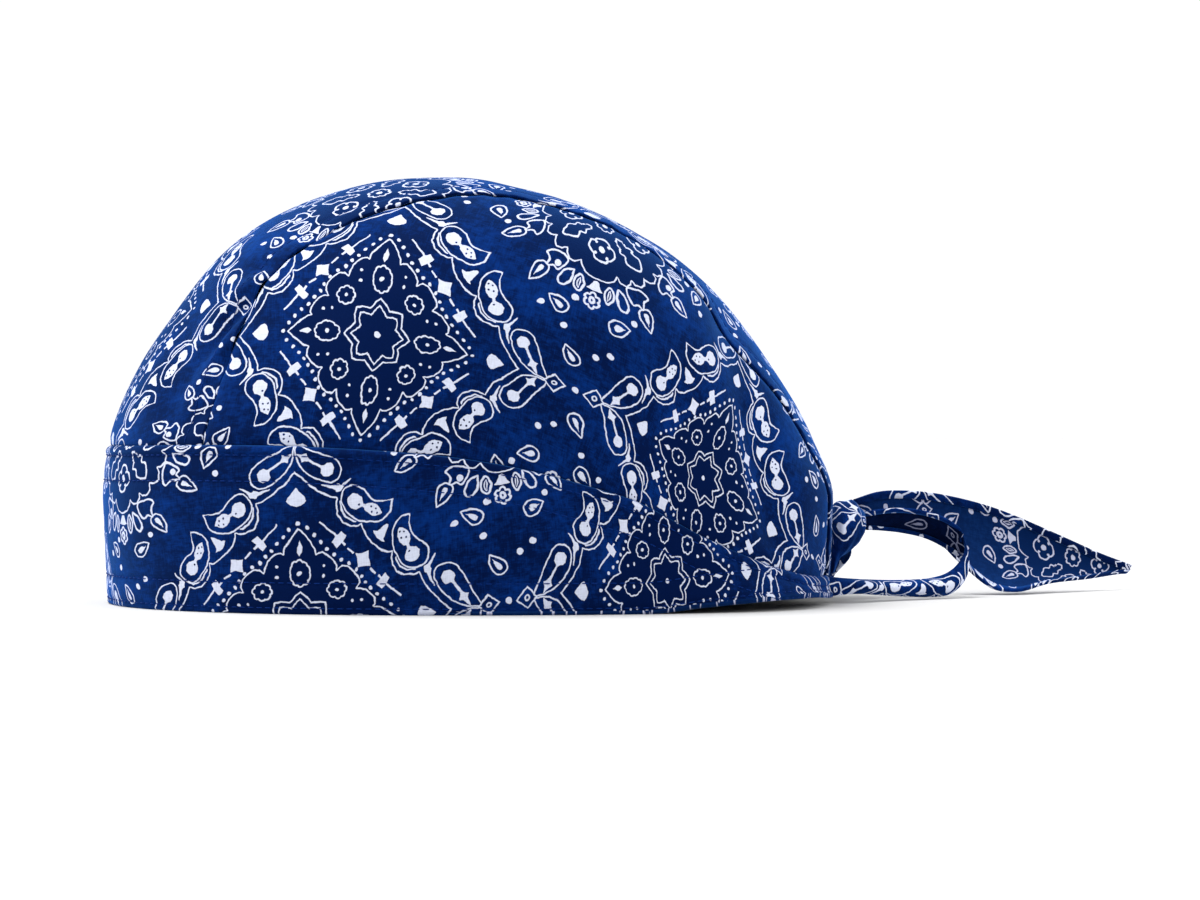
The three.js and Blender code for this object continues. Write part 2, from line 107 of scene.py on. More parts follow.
# %% Camera at the cap's side
LENS, SENSOR = 102, 36            # focal length and sensor width, in millimetres
LOOK_FROM = (996.9, -40.5, 50.0)
LOOK_AT = (0.0, 38.0, 44.0)

bpy.ops.object.select_all(action="DESELECT")
bpy.ops.object.camera_add(location=Vector(placed(LOOK_FROM)))
camera = bpy.context.object
camera.name = "camera"
camera.data.lens = LENS
camera.data.sensor_width = SENSOR
camera.data.clip_start = 0.05
camera.data.clip_end = 20
look = Vector(placed(LOOK_AT) - placed(LOOK_FROM))
camera.rotation_euler = look.to_track_quat("-Z", "Y").to_euler()
bpy.context.scene.camera = camera
print("camera", tuple(round(v, 3) for v in camera.location))

# %% [markdown]
# ## The crown's form
# Cotton over a head makes a dome that is neither a ball nor a box. It could be modelled by
# hand from a sphere, but every seam has to lie on it exactly. So it is written as a rule that
# is negative inside the crown and positive outside: an outline seen from the side, and a
# power that says how square the crown is from side to side. A ray from inside then finds the
# surface by halving its length again and again.

# %% The crown's tables, in millimetres and degrees
# half the crown's width, the temple's height, how far the sides lean in at the floor
HALF_WIDTH, TEMPLE, LEAN = 84, 30, 0.012
# angle from the forehead over the top to the nape, reach from the temple's height
OUTLINE = ((0, 106.8), (10, 106.1), (22, 103.6), (32, 101.4), (46, 101.2), (59, 98.9),
           (84, 93.7), (109, 91.2), (134, 91.8), (154.5, 94.8), (170, 100.8), (180, 105.5))
# angle, power
FULLNESS = ((0, 2.15), (50, 2.3), (90, 2.75), (120, 2.85), (150, 2.65), (180, 2.5))
# angle, half the centre strip's width
STRIP = ((0, 60), (20, 59), (38, 54), (50, 50.5), (64, 50), (80, 48), (98, 43.5),
         (113, 42.5), (131, 45), (150, 44.5), (166, 39.5), (180, 33), (194, 30))
# place towards the back, the band's top edge, its bottom edge, how far it flares out
BAND = ((-110, 45.6, 0, 0), (-75, 46, 0, 0), (-48, 45.6, 0, 0), (-12, 43.2, 0, 0.4),
        (10, 39.7, 0, 0.8), (31, 34.2, 0, 1.2), (43, 30.2, 0, 1.8), (60, 21.3, 1.8, 3.6),
        (77, 14, 3.2, 5.6), (90, 9.9, 3.4, 4.6), (101, 8.4, 2.4, 1.6))
# side (1 left, -1 right, 0 both), from back and up, to back and up, depth, spread
FOLDS = ((1, 72, 80, 76, 56, 2.4, 6.5), (1, 76, 56, 81, 30, 3.2, 6.0),
         (1, 81, 30, 84, 17, 3.0, 6.5), (1, 84, 15, 96, 14, 1.8, 5.0),
         (1, -82, 76, -86, 54, 1.5, 6.0), (-1, 70, 70, 80, 22, 2.4, 8.0),
         (-1, -70, 84, -82, 56, 1.6, 7.0), (0, 14, 122, 48, 110, 0.8, 9.0))
print("folds in the crown", len(FOLDS))


# %% Reading the tables
def read(table, column, place):
    """A column's value at a place between two rows, smooth and never past either row."""
    rows = np.array(table, float)
    keys, values = rows[:, 0], rows[:, column]
    slopes = np.zeros(len(keys))
    rising = np.diff(values)[1:] * np.diff(values)[:-1] > 0
    across = (values[2:] - values[:-2]) / (keys[2:] - keys[:-2])
    slopes[1:-1] = np.where(rising, across, 0)
    at = np.clip(place, keys[0], keys[-1])
    row = np.clip(np.searchsorted(keys, at) - 1, 0, len(keys) - 2)
    span = keys[row + 1] - keys[row]
    t = (at - keys[row]) / span
    change = values[row + 1] - values[row]
    leaving = slopes[row] * span - change
    arriving = change - slopes[row + 1] * span
    return values[row] + change * t + t * (1 - t) * ((1 - t) * leaving + t * arriving)


def band_top(back):
    return read(BAND, 1, back)


def smooth_step(value, low, high):
    t = np.clip((value - low) / (high - low), 0, 1)
    return t * t * (3 - 2 * t)


print("band at the temple", float(band_top(0.0)))


# %% The crown as inside and outside
def outsideness(points):
    """Below zero inside the crown's outer surface, above zero outside it."""
    x, y, z = points[..., 0], points[..., 1], points[..., 2]
    low = np.clip((TEMPLE - z) / TEMPLE, 0, None)
    draw = 1 - LEAN * low
    rise = np.clip(z - TEMPLE, 0, None)
    angle = np.degrees(np.arctan2(rise, -y))
    power = read(FULLNESS, 1, angle)
    across = np.abs(x) / (HALF_WIDTH * draw)
    around = np.hypot(y, rise) / (read(OUTLINE, 1, angle) * draw)
    return across ** power + around ** power - 1


print("the crown's middle is inside it", bool(outsideness(np.array([0.0, 0.0, TEMPLE])) < 0))


# %% Rays that meet the crown
BEYOND = 200.0                    # farther than the crown reaches, in millimetres


def meet(start, ray, halvings=34):
    """Where rays from points inside the crown meet its surface."""
    start, ray = np.broadcast_arrays(np.asarray(start, float), np.asarray(ray, float))
    near = np.zeros(start.shape[:-1])
    far = np.full(start.shape[:-1], BEYOND)
    for _ in range(halvings):
        middle = (near + far) / 2
        inside = outsideness(start + ray * middle[..., None]) < 0
        near = np.where(inside, middle, near)
        far = np.where(inside, far, middle)
    return start + ray * near[..., None]


def unit(vectors):
    length = np.linalg.norm(vectors, axis=-1, keepdims=True)
    return vectors / np.maximum(length, 1e-9)


print("top of the crown", float(meet((0.0, 0.0, TEMPLE), (0.0, 0.0, 1.0))[2]))


# %% The way out of the crown
PROBE = 0.5                       # how far to each side the crown's slope is felt
LEVEL_BELOW = 12                  # from this height above the band the way turns level


def above_band(points):
    return points[..., 2] - band_top(points[..., 1])


def outward(points):
    """The way straight out of the crown, turned level close to the band's top edge."""
    slopes = []
    for axis in range(3):
        move = np.zeros(3)
        move[axis] = PROBE
        slopes.append(outsideness(points + move) - outsideness(points - move))
    way = unit(np.stack(slopes, axis=-1))
    way[..., 2] *= np.clip(above_band(points) / LEVEL_BELOW, 0, 1)
    return unit(way)


print("way out at the top", outward(np.array([0.0, 0.0, 121.0])).round(2))


# %% Soft folds in the cloth
SIDE_STARTS, SIDE_FULL = 18, 40   # a fold of one side grows between these places off the middle
FOLDS_RISE = 9                    # the folds are flat at the band and full at this height


def spaced(start, end, steps):
    return np.linspace(start, end, steps + 1)


def near_line(points, start, end):
    """For every point, the share of a straight line that it lies beside, and how far off."""
    start = np.array(start, float)
    run = np.array(end, float) - start
    gone = points - start
    share = np.clip(gone @ run / (run @ run), 0, 1)
    return share, np.linalg.norm(gone - share[..., None] * run, axis=-1)


def fold_depth(points):
    """How far the cloth's soft folds pull the surface in."""
    depth = np.zeros(points.shape[:-1])
    for side, back, up, to_back, to_up, deep, spread in FOLDS:
        _, away = near_line(points[..., 1:], (back, up), (to_back, to_up))
        pull = deep * np.exp(-(away / spread) ** 2)
        if side:
            pull = pull * smooth_step(points[..., 0] * side, SIDE_STARTS, SIDE_FULL)
        depth = np.maximum(depth, pull)
    return depth * smooth_step(above_band(points), 0, FOLDS_RISE)


print("fold over the temple", float(fold_depth(np.array([80.0, 78.5, 43.0]))))

# %% [markdown]
# ## The seams' lines
# Two seams run from the forehead to the nape, and the band's top edge crosses their ends. The
# places along them are found once and shared by the pieces on both sides, as a tailor's marks
# are, so that no gap opens. The four corners come from halving an angle until the seam's
# height is the band's.

# %% The strip's seam and its corners on the band
SEAM = 0.4                        # the gap that the frame leaves between two pieces
FRONT_SHOULDER, BACK_SHOULDER = 62, 124     # angles where a panel's ends meet its top edge
SEARCH = 40                       # degrees to search for a corner, and how often to halve them


def seam_point(angle, shift=0.0):
    """The seam on the wearer's left at an angle round the outline, set aside by a shift."""
    turn = np.radians(angle)
    half = read(STRIP, 1, angle) + shift
    ray = np.stack([0 * turn, -np.cos(turn), np.sin(turn)], axis=-1)
    start = np.stack([half, 0 * half, TEMPLE + 0 * half], axis=-1)
    return meet(start, ray)


def seam_angle(start, towards):
    """The angle, sought from a start in steps that halve, where the seam meets the band."""
    low, high = float(start), float(start + towards * SEARCH)
    for _ in range(SEARCH):
        middle = (low + high) / 2
        point = seam_point(np.array(middle))
        low, high = (middle, high) if above_band(point) < 0 else (low, middle)
    return low


FRONT_CORNER = seam_angle(0, 1)
BACK_CORNER = seam_angle(200, -1)
FRONT_END = seam_point(np.array(FRONT_CORNER))
BACK_END = seam_point(np.array(BACK_CORNER))
NAPE_HEM = float(band_top(BACK_END[1]))
print("seam corners", FRONT_END.round(1), BACK_END.round(1))

# %% [markdown]
# ## Sheets of cloth
# Every piece of the cap is a thin sheet. It could be extruded edge by edge, but a grid with
# even quads bends best. The grid is added flat, its points are moved to their places, and its
# UVs are set to the flat cloth's own measure, so that the print runs over it as over real
# cloth. Solidify then gives it the thickness of cotton, with the cloth's reverse inside.

# %% A sheet from rows of points
COTTON = 0.5                      # thickness of the cloth as it lies, in millimetres


def faces_of(mesh):
    """The middles and the normals of a mesh's faces."""
    centres = np.zeros(len(mesh.polygons) * 3)
    normals = np.zeros(len(mesh.polygons) * 3)
    mesh.polygons.foreach_get("center", centres)
    mesh.polygons.foreach_get("normal", normals)
    return centres.reshape(-1, 3), normals.reshape(-1, 3)


def sheet_of(name, points, spots, thickness=COTTON, outside=None):
    """A grid laid on rows of points; spots says which spot of the print lies on each, and
    outside gives the ways that the cloth's face looks, where that isn't off the crown."""
    rows, columns = points.shape[:2]
    bpy.ops.object.select_all(action="DESELECT")
    bpy.ops.mesh.primitive_grid_add(x_subdivisions=columns - 1, y_subdivisions=rows - 1, size=1)
    piece = bpy.context.object
    piece.name = name
    mesh = piece.data
    mesh.name = name
    mesh.vertices.foreach_set("co", placed(points).ravel())
    corners = np.zeros(len(mesh.loops), int)
    mesh.loops.foreach_get("vertex_index", corners)
    flat = np.asarray(spots, float).reshape(-1, 2)[corners]
    mesh.uv_layers.active.data.foreach_set("uv", (flat * MM).ravel())
    mesh.update()
    centres, normals = faces_of(mesh)
    if outside is None:
        away = centres - placed((0.0, 0.0, TEMPLE))
    else:
        away = outside[1:, 1:] + outside[:-1, 1:] + outside[1:, :-1] + outside[:-1, :-1]
        away = away.reshape(-1, 3)
    if (normals * away).sum() < 0:
        bpy.ops.object.mode_set(mode="EDIT")
        bpy.ops.mesh.select_all(action="SELECT")
        bpy.ops.mesh.flip_normals()
        bpy.ops.object.mode_set(mode="OBJECT")
    mesh.materials.append(None)       # the slot of the cloth's face
    mesh.materials.append(None)       # the slot of its reverse, where Solidify puts the inside
    thicken = piece.modifiers.new("cotton", "SOLIDIFY")
    thicken.thickness = thickness * MM
    thicken.offset = -1
    thicken.material_offset = 1
    thicken.use_even_offset = False
    bpy.ops.object.modifier_apply(modifier=thicken.name)
    bpy.ops.object.shade_smooth()
    print(name, "faces", len(mesh.polygons), "rows", rows, "columns", columns)
    return piece


# %% Turning an edge under
def turned_under(points, cloth, ways, radius, turn=150, steps=5, tuck=1.2):
    """Adds rows before the first one, where the cloth rolls under and is tucked in."""
    off = unit(points[0] - points[1])
    out = unit(ways[0] - off * (ways[0] * off).sum(-1, keepdims=True))
    middle = points[0] - out * radius
    angles = np.radians(np.linspace(turn / steps, turn, steps))
    new = [middle + radius * (out * np.cos(a) + off * np.sin(a)) for a in angles]
    last = np.radians(turn)
    new.append(new[-1] + tuck * (off * np.cos(last) - out * np.sin(last)))
    lengths = [radius * a for a in angles] + [radius * last + tuck]
    step = unit(cloth[0] - cloth[1])
    flat = [cloth[0] + step * length for length in lengths]
    outs = [unit(out * np.cos(a) + off * np.sin(a)) for a in angles]
    outs.append(outs[-1])
    grids = (new, points), (flat, cloth), (outs, ways)
    return [np.concatenate([np.stack(more[::-1]), grid]) for more, grid in grids]


def turned_on(side, points, cloth, ways, **how):
    """Turns one side of a grid under: first or last row, first or last column."""
    def around(grid):
        grid = grid if "row" in side else grid.swapaxes(0, 1)
        return grid if "first" in side else grid[::-1]

    grids = turned_under(*[around(grid) for grid in (points, cloth, ways)], **how)
    back = [grid if "first" in side else grid[::-1] for grid in grids]
    return [grid if "row" in side else grid.swapaxes(0, 1) for grid in back]


def turned_all_round(grids, bottom, top, ends):
    """Turns all four sides of a crown piece under, by radii in millimetres."""
    grids = turned_on("first row", *grids, radius=bottom)
    grids = turned_on("last row", *grids, radius=top)
    grids = turned_on("first column", *grids, radius=ends)
    return turned_on("last column", *grids, radius=ends)


def run_along(points, axis):
    """The length of cloth from the first row or column to each point."""
    steps = np.linalg.norm(np.diff(points, axis=axis), axis=-1)
    start = np.zeros_like(np.take(steps, [0], axis=axis))
    return np.concatenate([start, np.cumsum(steps, axis=axis)], axis=axis)


print("cotton's thickness in millimetres", COTTON)


# %% [markdown]
# ### Laying the print on the cloth
# Each piece is cut from printed cloth where the cutter's pattern happened to lie, and the
# cloth is drawn a little as it is sewn and worn. A picture would be moved and scaled by
# hand. Here a few pins say which spot of the print lies on which spot of the piece, and the
# print runs smoothly between them, as a thin plate would bend. The print's own measure has a
# star's middle at 0, 0 and the next stars one repeat away.

# %% Pins for the print
REPEAT = 109.6                    # from one star's middle to the next, in millimetres
PLATE = 50                        # the length that the thin plate is measured in
# place on the piece, then the print's spot that lies there
SIDE_PINS = (
    (-72, 50, -40.2, 0), (-63.5, 34, -32, -15), (-63, 68.5, -32, 15), (-55, 49.5, -25.8, 0),
    (-54, 77, -23.8, 23.8), (-33, 19, 0, -25.8), (-29, 46.5, 0, 0), (-26.5, 77.5, 0, 25.8),
    (-10, 20.5, 23.8, -23.8), (-4.5, 40.5, 25.8, 0), (-2, 64.5, 23.8, 23.8),
    (19, 33, 49.6, 0), (30.5, 28.5, 60, 0), (31, 57, 54.8, 28), (37, 76, 54.8, 43.6),
    (31, 86, 46.8, 46.8), (15, 97, 28, 54.8), (44.5, 20.5, 76.6, 0), (50, 0.5, 93.5, -16),
    (60, 26, 93.5, 16), (61.5, 7, 109.6, 0), (81, 37.5, 109.6, 33), (87.5, 16, 133.4, 23.8),
    (81.5, -5, 135.4, 0), (104, -16, 159.2, 0))
BAND_PINS = (
    (-212, 10, -328.8, 13), (-108, 10, -219.2, 13), (-108, 40, -219.2, 42),
    (-4.5, 10, -109.6, 13), (34.5, 20, -54.8, 28), (66, 10.5, -32, 15), (74.5, 5.5, -22.4, 9.8),
    (82, 11.5, -16, 16), (98.5, 38, 0, 40.2), (99.5, 22.5, 0, 25.8), (116.5, 13.5, 16, 16),
    (131, 15.5, 32, 15), (151, 2.5, 49.6, 0), (156.5, 3.5, 54.8, 0), (155, 32, 54.8, 28),
    (177.5, 22, 77.4, 15), (187.5, 6.5, 88.6, 0), (189.5, 22.5, 93.5, 16),
    (201.5, 22.5, 109.6, 14.6), (202.5, 8.5, 109.6, 0), (214, 9, 124.2, 0), (223, 10, 135.4, 0))


def pull(apart):
    """How a thin plate answers, at some distance, to a pin that pushes it."""
    return np.where(apart > 0, apart ** 2 * np.log(np.maximum(apart, 1e-9)), 0)


def pinned(pins, cloth, slack=0.003):
    """The print's spot at every place of a piece; slack lets a pin give way a little."""
    pins = np.array(pins, float)
    at, spots = pins[:, :2] / PLATE, pins[:, 2:]
    level = np.column_stack([np.ones(len(at)), at])
    apart = np.linalg.norm(at[:, None] - at[None], axis=-1)
    push = np.block([[pull(apart) + slack * np.eye(len(at)), level],
                     [level.T, np.zeros((3, 3))]])
    shares = np.linalg.solve(push, np.vstack([spots, np.zeros((3, 2))]))
    place = cloth / PLATE
    away = np.linalg.norm(place[..., None, :] - at, axis=-1)
    return pull(away) @ shares[:-3] + shares[-3] + place @ shares[-2:]


def turned(cloth, middle, angle, scale=1.0, spot=(0.0, 0.0)):
    """The print laid flat: its spot on the piece's middle, turned and scaled."""
    turn = np.radians(angle)
    spin = np.array([[np.cos(turn), -np.sin(turn)], [np.sin(turn), np.cos(turn)]])
    return (cloth - np.array(middle)) @ spin / scale + np.array(spot)


print("pins on the side and on the band", len(SIDE_PINS), len(BAND_PINS))

# %% [markdown]
# ## Crown panels
# The centre strip and the two side panels are cut flat and seamed edge to edge, and their
# lower edges go in behind the band's top edge. Each grid follows its own cut: the strip's rows
# run from seam to seam, and a side panel is drawn across a map of the crown's side from its
# four edges. The edges are then turned under, so every seam shows a rounded fold on both sides
# and a narrow shadow between, which a bevel on a single shell wouldn't give.

# %% How the seams press the cloth
SEAM_GAP = 0.48                   # from a seam's middle to where the cloth starts to turn
TOPSTITCH = 6.0                   # from the strip's edge to the stitches on it
TOP_LINES = (2.7, 9.8)            # the band's lines of stitches, down from its top edge
LOW_LINES = (8.5, 1.7)            # and up from its fold


def valley(distance, depth, width):
    """A rounded valley in the cloth, as deep as depth where the distance is nothing."""
    return depth * np.exp(-(distance / width) ** 2)


def seam_press(distance):
    """The cloth sinks beside a seam, where the stitches pull it down."""
    return valley(distance, depth=0.55, width=1.5)


def tucked(distance):
    """The crown's lower edge goes behind the band's."""
    return valley(distance, depth=0.7, width=1.6)


def sewn_through(distance, line, depth=0.42, width=0.75):
    """The shallow valley that a line of stitches draws, at its distance from an edge."""
    return valley(distance - line, depth, width)


print("lines of stitches on the band", len(TOP_LINES + LOW_LINES))


# %% Puckers, slow waves and short pulls
def puckers(along, distance, height, length, reach):
    """Small ripples square to a seam, gathered by its thread and fading into the panel."""
    wave = np.sin(along / length * 2 * np.pi + 1.7 * np.sin(along / length * 0.9))
    wave = wave + 0.5 * np.sin(along / length * 3.7 + 2.0)
    return height * wave * np.exp(-distance / reach)


WAVES = 6                         # how many slow waves cross


def waves(points, seed, size):
    """A slow unevenness of the cloth, from a few waves that cross by chance."""
    draw = np.random.default_rng(seed)
    total = np.zeros(points.shape[:-1])
    for _ in range(WAVES):
        way = unit(draw.normal(size=3))
        total += np.sin(points @ way * 2 * np.pi / (size * draw.uniform(0.7, 1.5))
                        + draw.uniform(0, 6.28))
    return total / WAVES


# from the seam into the strip: two places left, back and up, then depth and spread
PULLS = ((51, -64.5, 85, 47, -80, 64, 2.6, 2.6), (49, -63, 91, 43, -77, 76, -1.4, 3.4),
         (55.5, -70, 70, 56, -79, 52, 1.9, 2.4), (54, -69, 77, 51, -80, 57, -1.2, 2.6),
         (50.5, -56, 96, 40, -66, 93, 1.3, 2.6), (49.5, -44, 104, 38, -50, 106, 1.1, 2.8),
         (58.5, -74, 56, 50, -84, 47, 1.0, 2.6))


def strip_pulls(points):
    """Short folds that the seam's thread draws into the strip over the forehead."""
    depth = np.zeros(points.shape[:-1])
    for *ends, deep, spread in PULLS:
        share, away = near_line(points, ends[:3], ends[3:])
        wider, flatter = 1 + 0.8 * share, 1 - 0.7 * share
        depth += deep * np.exp(-(away / (spread * wider)) ** 2) * flatter
    return depth


print("pulls over the forehead", len(PULLS))


# %% The centre strip's grid
STRIP_RISE, STRIP_TOP, STRIP_ACROSS = 48, 120, 72   # its steps up an end, over the top, across
SETTLE = 6                        # how soon the rows leave the slant of the strip's ends


def centre_strip():
    front = spaced(FRONT_CORNER, FRONT_SHOULDER, STRIP_RISE)
    crown = spaced(FRONT_SHOULDER, BACK_SHOULDER, STRIP_TOP)[1:]
    back = spaced(BACK_CORNER, BACK_SHOULDER, STRIP_RISE)[:-1][::-1]
    angles = np.concatenate([front, crown, back])
    shares = spaced(-1, 1, STRIP_ACROSS)
    level = float(band_top(FRONT_END[1])) + SEAM / 2

    def end_angles(half, height, facing_y):
        start = np.stack([shares * half, 0 * shares, 0 * shares + height], axis=-1)
        point = meet(start, (0.0, facing_y, 0.0))
        return np.degrees(np.arctan2(point[:, 2] - TEMPLE, -point[:, 1]))

    start = end_angles(FRONT_END[0], level, -1.0)
    end = end_angles(BACK_END[0], NAPE_HEM, 1.0) % 360
    t = spaced(0, 1, len(angles) - 1)[:, None]
    settle = (start - start[-1]) * (1 - t) ** SETTLE + (end - end[-1]) * t ** SETTLE
    turn = np.radians(angles[:, None] + settle)
    half = read(STRIP, 1, angles)[:, None] - SEAM_GAP
    side = shares * half
    ray = np.stack([0 * turn, -np.cos(turn), np.sin(turn)], axis=-1)
    return meet(np.stack([side, 0 * side, TEMPLE + 0 * side], axis=-1), ray)


strip_points = centre_strip()
halfway = slice(STRIP_ACROSS // 2, STRIP_ACROSS // 2 + 1)
strip_across = run_along(strip_points, 1)
strip_across -= strip_across[:, halfway]
strip_along = run_along(strip_points, 0)[:, halfway] + 0 * strip_across
print("centre strip's length on the flat", float(strip_along[-1, 0]))

# %% The centre strip as it is sewn
ALLOWANCE_LIFT = 0.25             # the seam allowance below pads the strip out by this much
FADE = 14                         # from a seam to where the slow waves are full

strip_ways = outward(strip_points)
seam_away = run_along(strip_points, 1)[:, -1:] / 2 - np.abs(strip_across)
allowance = 1 - smooth_step(seam_away, TOPSTITCH - 1, TOPSTITCH + 1)
lift = ALLOWANCE_LIFT * allowance - fold_depth(strip_points)
lift -= sewn_through(seam_away, TOPSTITCH)
lift -= strip_pulls(strip_points)
lift += puckers(strip_along, seam_away, height=0.16, length=9.0, reach=7.0)
lift += 0.28 * waves(strip_points, seed=3, size=34) * smooth_step(seam_away, 0, FADE)
lift -= tucked(run_along(strip_points, 0))
strip_points = strip_points + strip_ways * lift[..., None]
strip_cloth = np.stack([strip_across, strip_along], axis=-1)
grids = turned_all_round((strip_points, strip_cloth, strip_ways), bottom=0.75, top=0.5, ends=0.45)
centre = sheet_of("crown_centre_strip", grids[0],
                  turned(grids[1], middle=(2.7, 35.9), angle=20, scale=1.1))

# %% [markdown]
# ### The side panels
# A panel has no straight edge, so it is drawn on a map first: each point's direction from the
# middle of the temples becomes a place on a plane. The four edges are known there, and a
# patch blends them across. Moved back from the map, every point lies on the crown. Its place
# on the flat cloth is its distance from the temple along the crown, so the print keeps its
# scale up the whole side.

# %% Map of the crown's side
def to_map(points):
    turn = np.arctan2(np.hypot(points[..., 1], points[..., 2] - TEMPLE), points[..., 0])
    around = np.arctan2(points[..., 2] - TEMPLE, points[..., 1])
    return np.stack([turn * np.cos(around), turn * np.sin(around)], axis=-1)


def from_map(place, **how):
    turn = np.linalg.norm(place, axis=-1)
    around = np.arctan2(place[..., 1], place[..., 0])
    ray = np.stack([np.cos(turn), np.sin(turn) * np.cos(around),
                    np.sin(turn) * np.sin(around)], axis=-1)
    return meet((0.0, 0.0, TEMPLE), ray, **how)


def flat_side(place):
    """The distance from the temple along the crown, in the map's direction."""
    length = np.zeros(place.shape[:-1])
    before = from_map(place * 0.0 + 1e-6, halvings=22)
    for share in spaced(0, 1, 10)[1:]:
        here = from_map(place * share, halvings=22)
        length += np.linalg.norm(here - before, axis=-1)
        before = here
    return unit(place) * length[..., None]


print("a place above the ear on the map", to_map(np.array([70.0, 20.0, 90.0])).round(2))


# %% A side panel's grid on the wearer's left
PANEL_COLUMNS, PANEL_ROWS = 150, 72


def panel_grid():
    backs = spaced(FRONT_END[1], BACK_END[1], PANEL_COLUMNS)
    lower = np.stack([0 * backs, backs, band_top(backs) + SEAM / 2], axis=-1)
    bottom = to_map(meet(lower, (1.0, 0.0, 0.0)))

    def seam_edge(start, end, steps):
        return to_map(seam_point(spaced(start, end, steps), SEAM_GAP))

    top = seam_edge(FRONT_SHOULDER, BACK_SHOULDER, PANEL_COLUMNS)
    front = seam_edge(FRONT_CORNER, FRONT_SHOULDER, PANEL_ROWS)
    back = seam_edge(BACK_CORNER, BACK_SHOULDER, PANEL_ROWS)
    u = spaced(0, 1, PANEL_COLUMNS)[None, :, None]
    v = spaced(0, 1, PANEL_ROWS)[:, None, None]
    place = bottom[None] * (1 - v) + top[None] * v
    place = place + front[:, None] * (1 - u) + back[:, None] * u
    place = place - front[0] * (1 - u) * (1 - v) - back[0] * u * (1 - v)
    place = place - top[0] * (1 - u) * v - top[-1] * u * v
    return place


side_place = panel_grid()
side_points = from_map(side_place)
side_cloth = flat_side(side_place)
side_ways = outward(side_points)
print("side panel on the flat", np.ptp(side_cloth.reshape(-1, 2), axis=0).round(1))


# %% The two side panels
def side_panel(name, side, seed, print_on):
    points, ways = side_points.copy(), side_ways.copy()
    points[..., 0] *= side
    ways[..., 0] *= side
    up, along = run_along(points, 0), run_along(points, 1)
    to_top, to_back = up[-1:] - up, along[:, -1:] - along
    seam_away = np.minimum(np.minimum(to_top, along), to_back)
    lift = -fold_depth(points) - seam_press(seam_away)
    lift += puckers(along, to_top, height=0.14, length=8.0, reach=6.0)
    lift += puckers(up, along, height=0.14, length=9.0, reach=7.0)
    lift += 0.3 * waves(points, seed, size=38) * smooth_step(np.minimum(seam_away, up), 0, FADE)
    lift -= tucked(up)
    points = points + ways * lift[..., None]
    grids = points, side_cloth * np.array([side, 1.0]), ways
    grids = turned_all_round(grids, bottom=0.75, top=0.45, ends=0.45)
    return sheet_of(name, grids[0], print_on(grids[1]))


left_side = side_panel("crown_left_panel", side=1, seed=5,
                       print_on=lambda cloth: pinned(SIDE_PINS, cloth))
right_side = side_panel("crown_right_panel", side=-1, seed=11,
                        print_on=lambda cloth: turned(cloth, (4, 40), angle=14, scale=1.08))

# %% [markdown]
# ## Headband
# The band is one long piece of cotton folded double along its lower edge, sewn into the
# crown's seam and stitched through near both edges. Two separate layers would leave a raw
# edge below. So one grid runs down the outside, round the fold and up the inside, and the
# same cloth turns the corner as it does on the real band.

# %% The band's top edge, and rows below it
FRONT_STEPS = 80                  # round the forehead, from one panel's corner to the other's


def band_loop():
    backs = spaced(FRONT_END[1], BACK_END[1], PANEL_COLUMNS)
    left = meet(np.stack([0 * backs, backs, band_top(backs)], axis=-1), (1.0, 0.0, 0.0))
    right = (left * np.array([-1.0, 1.0, 1.0]))[::-1]
    sides = spaced(-1, 1, FRONT_STEPS)[1:-1] * FRONT_END[0]
    forehead = float(band_top(FRONT_END[1]))
    start = np.stack([sides, 0 * sides, 0 * sides + forehead], axis=-1)
    return np.concatenate([right, meet(start, (0.0, -1.0, 0.0)), left])


def band_points(loop, down, inset):
    """Rows down the band at shares of its height, set in from the outer face by insets."""
    backs = loop[:, 1]
    edge = band_top(backs) - SEAM / 2
    foot, flare = read(BAND, 2, backs), read(BAND, 3, backs)
    ray = unit(loop * np.array([1.0, 1.0, 0.0]))
    height = edge + (foot - edge) * down[:, None]
    start = np.stack([0 * height, 0 * height, height], axis=-1)
    wall = meet(start, np.broadcast_to(ray, start.shape))
    level = unit(outward(wall) * np.array([1.0, 1.0, 0.0]))
    out = flare * np.clip(down[:, None], 0, None) ** 1.5 - inset
    return wall + level * out[..., None], level


loop = band_loop()
tall = band_top(loop[:, 1]) - SEAM / 2 - read(BAND, 2, loop[:, 1])
print("band's height from", float(tall.min()), "to", float(tall.max()))

# %% The band's outside
# rows are closer at the top edge, which rolls in, and above the fold
down = np.concatenate([spaced(0, 0.1, 9), spaced(0.1, 0.78, 44)[1:], spaced(0.78, 1, 16)[1:]])
from_top, from_foot = down[:, None] * tall, (1 - down[:, None]) * tall
edge_roll = 1.1 * np.exp(-from_top / 0.5)
over_seam = 0.5 * (1 - smooth_step(from_top, 1.9, 3.4))     # the crown's seam pads it out
sunk = edge_roll - over_seam
sunk += sum(sewn_through(from_top, line, 0.3) for line in TOP_LINES)
sunk += sum(sewn_through(from_foot, line, 0.3) for line in LOW_LINES)
outer, band_ways = band_points(loop, down[:-1], sunk[:-1])
print("band's outside", outer.shape[:2], "rows and columns")

# %% Round the fold and up the inside
BAND_WALL = 1.8                   # over both layers
FOLD = BAND_WALL / 2 - 0.1        # the fold's radius, with the cloth pressed a little
FOLD_ROWS, INNER_ROWS = 6, 24

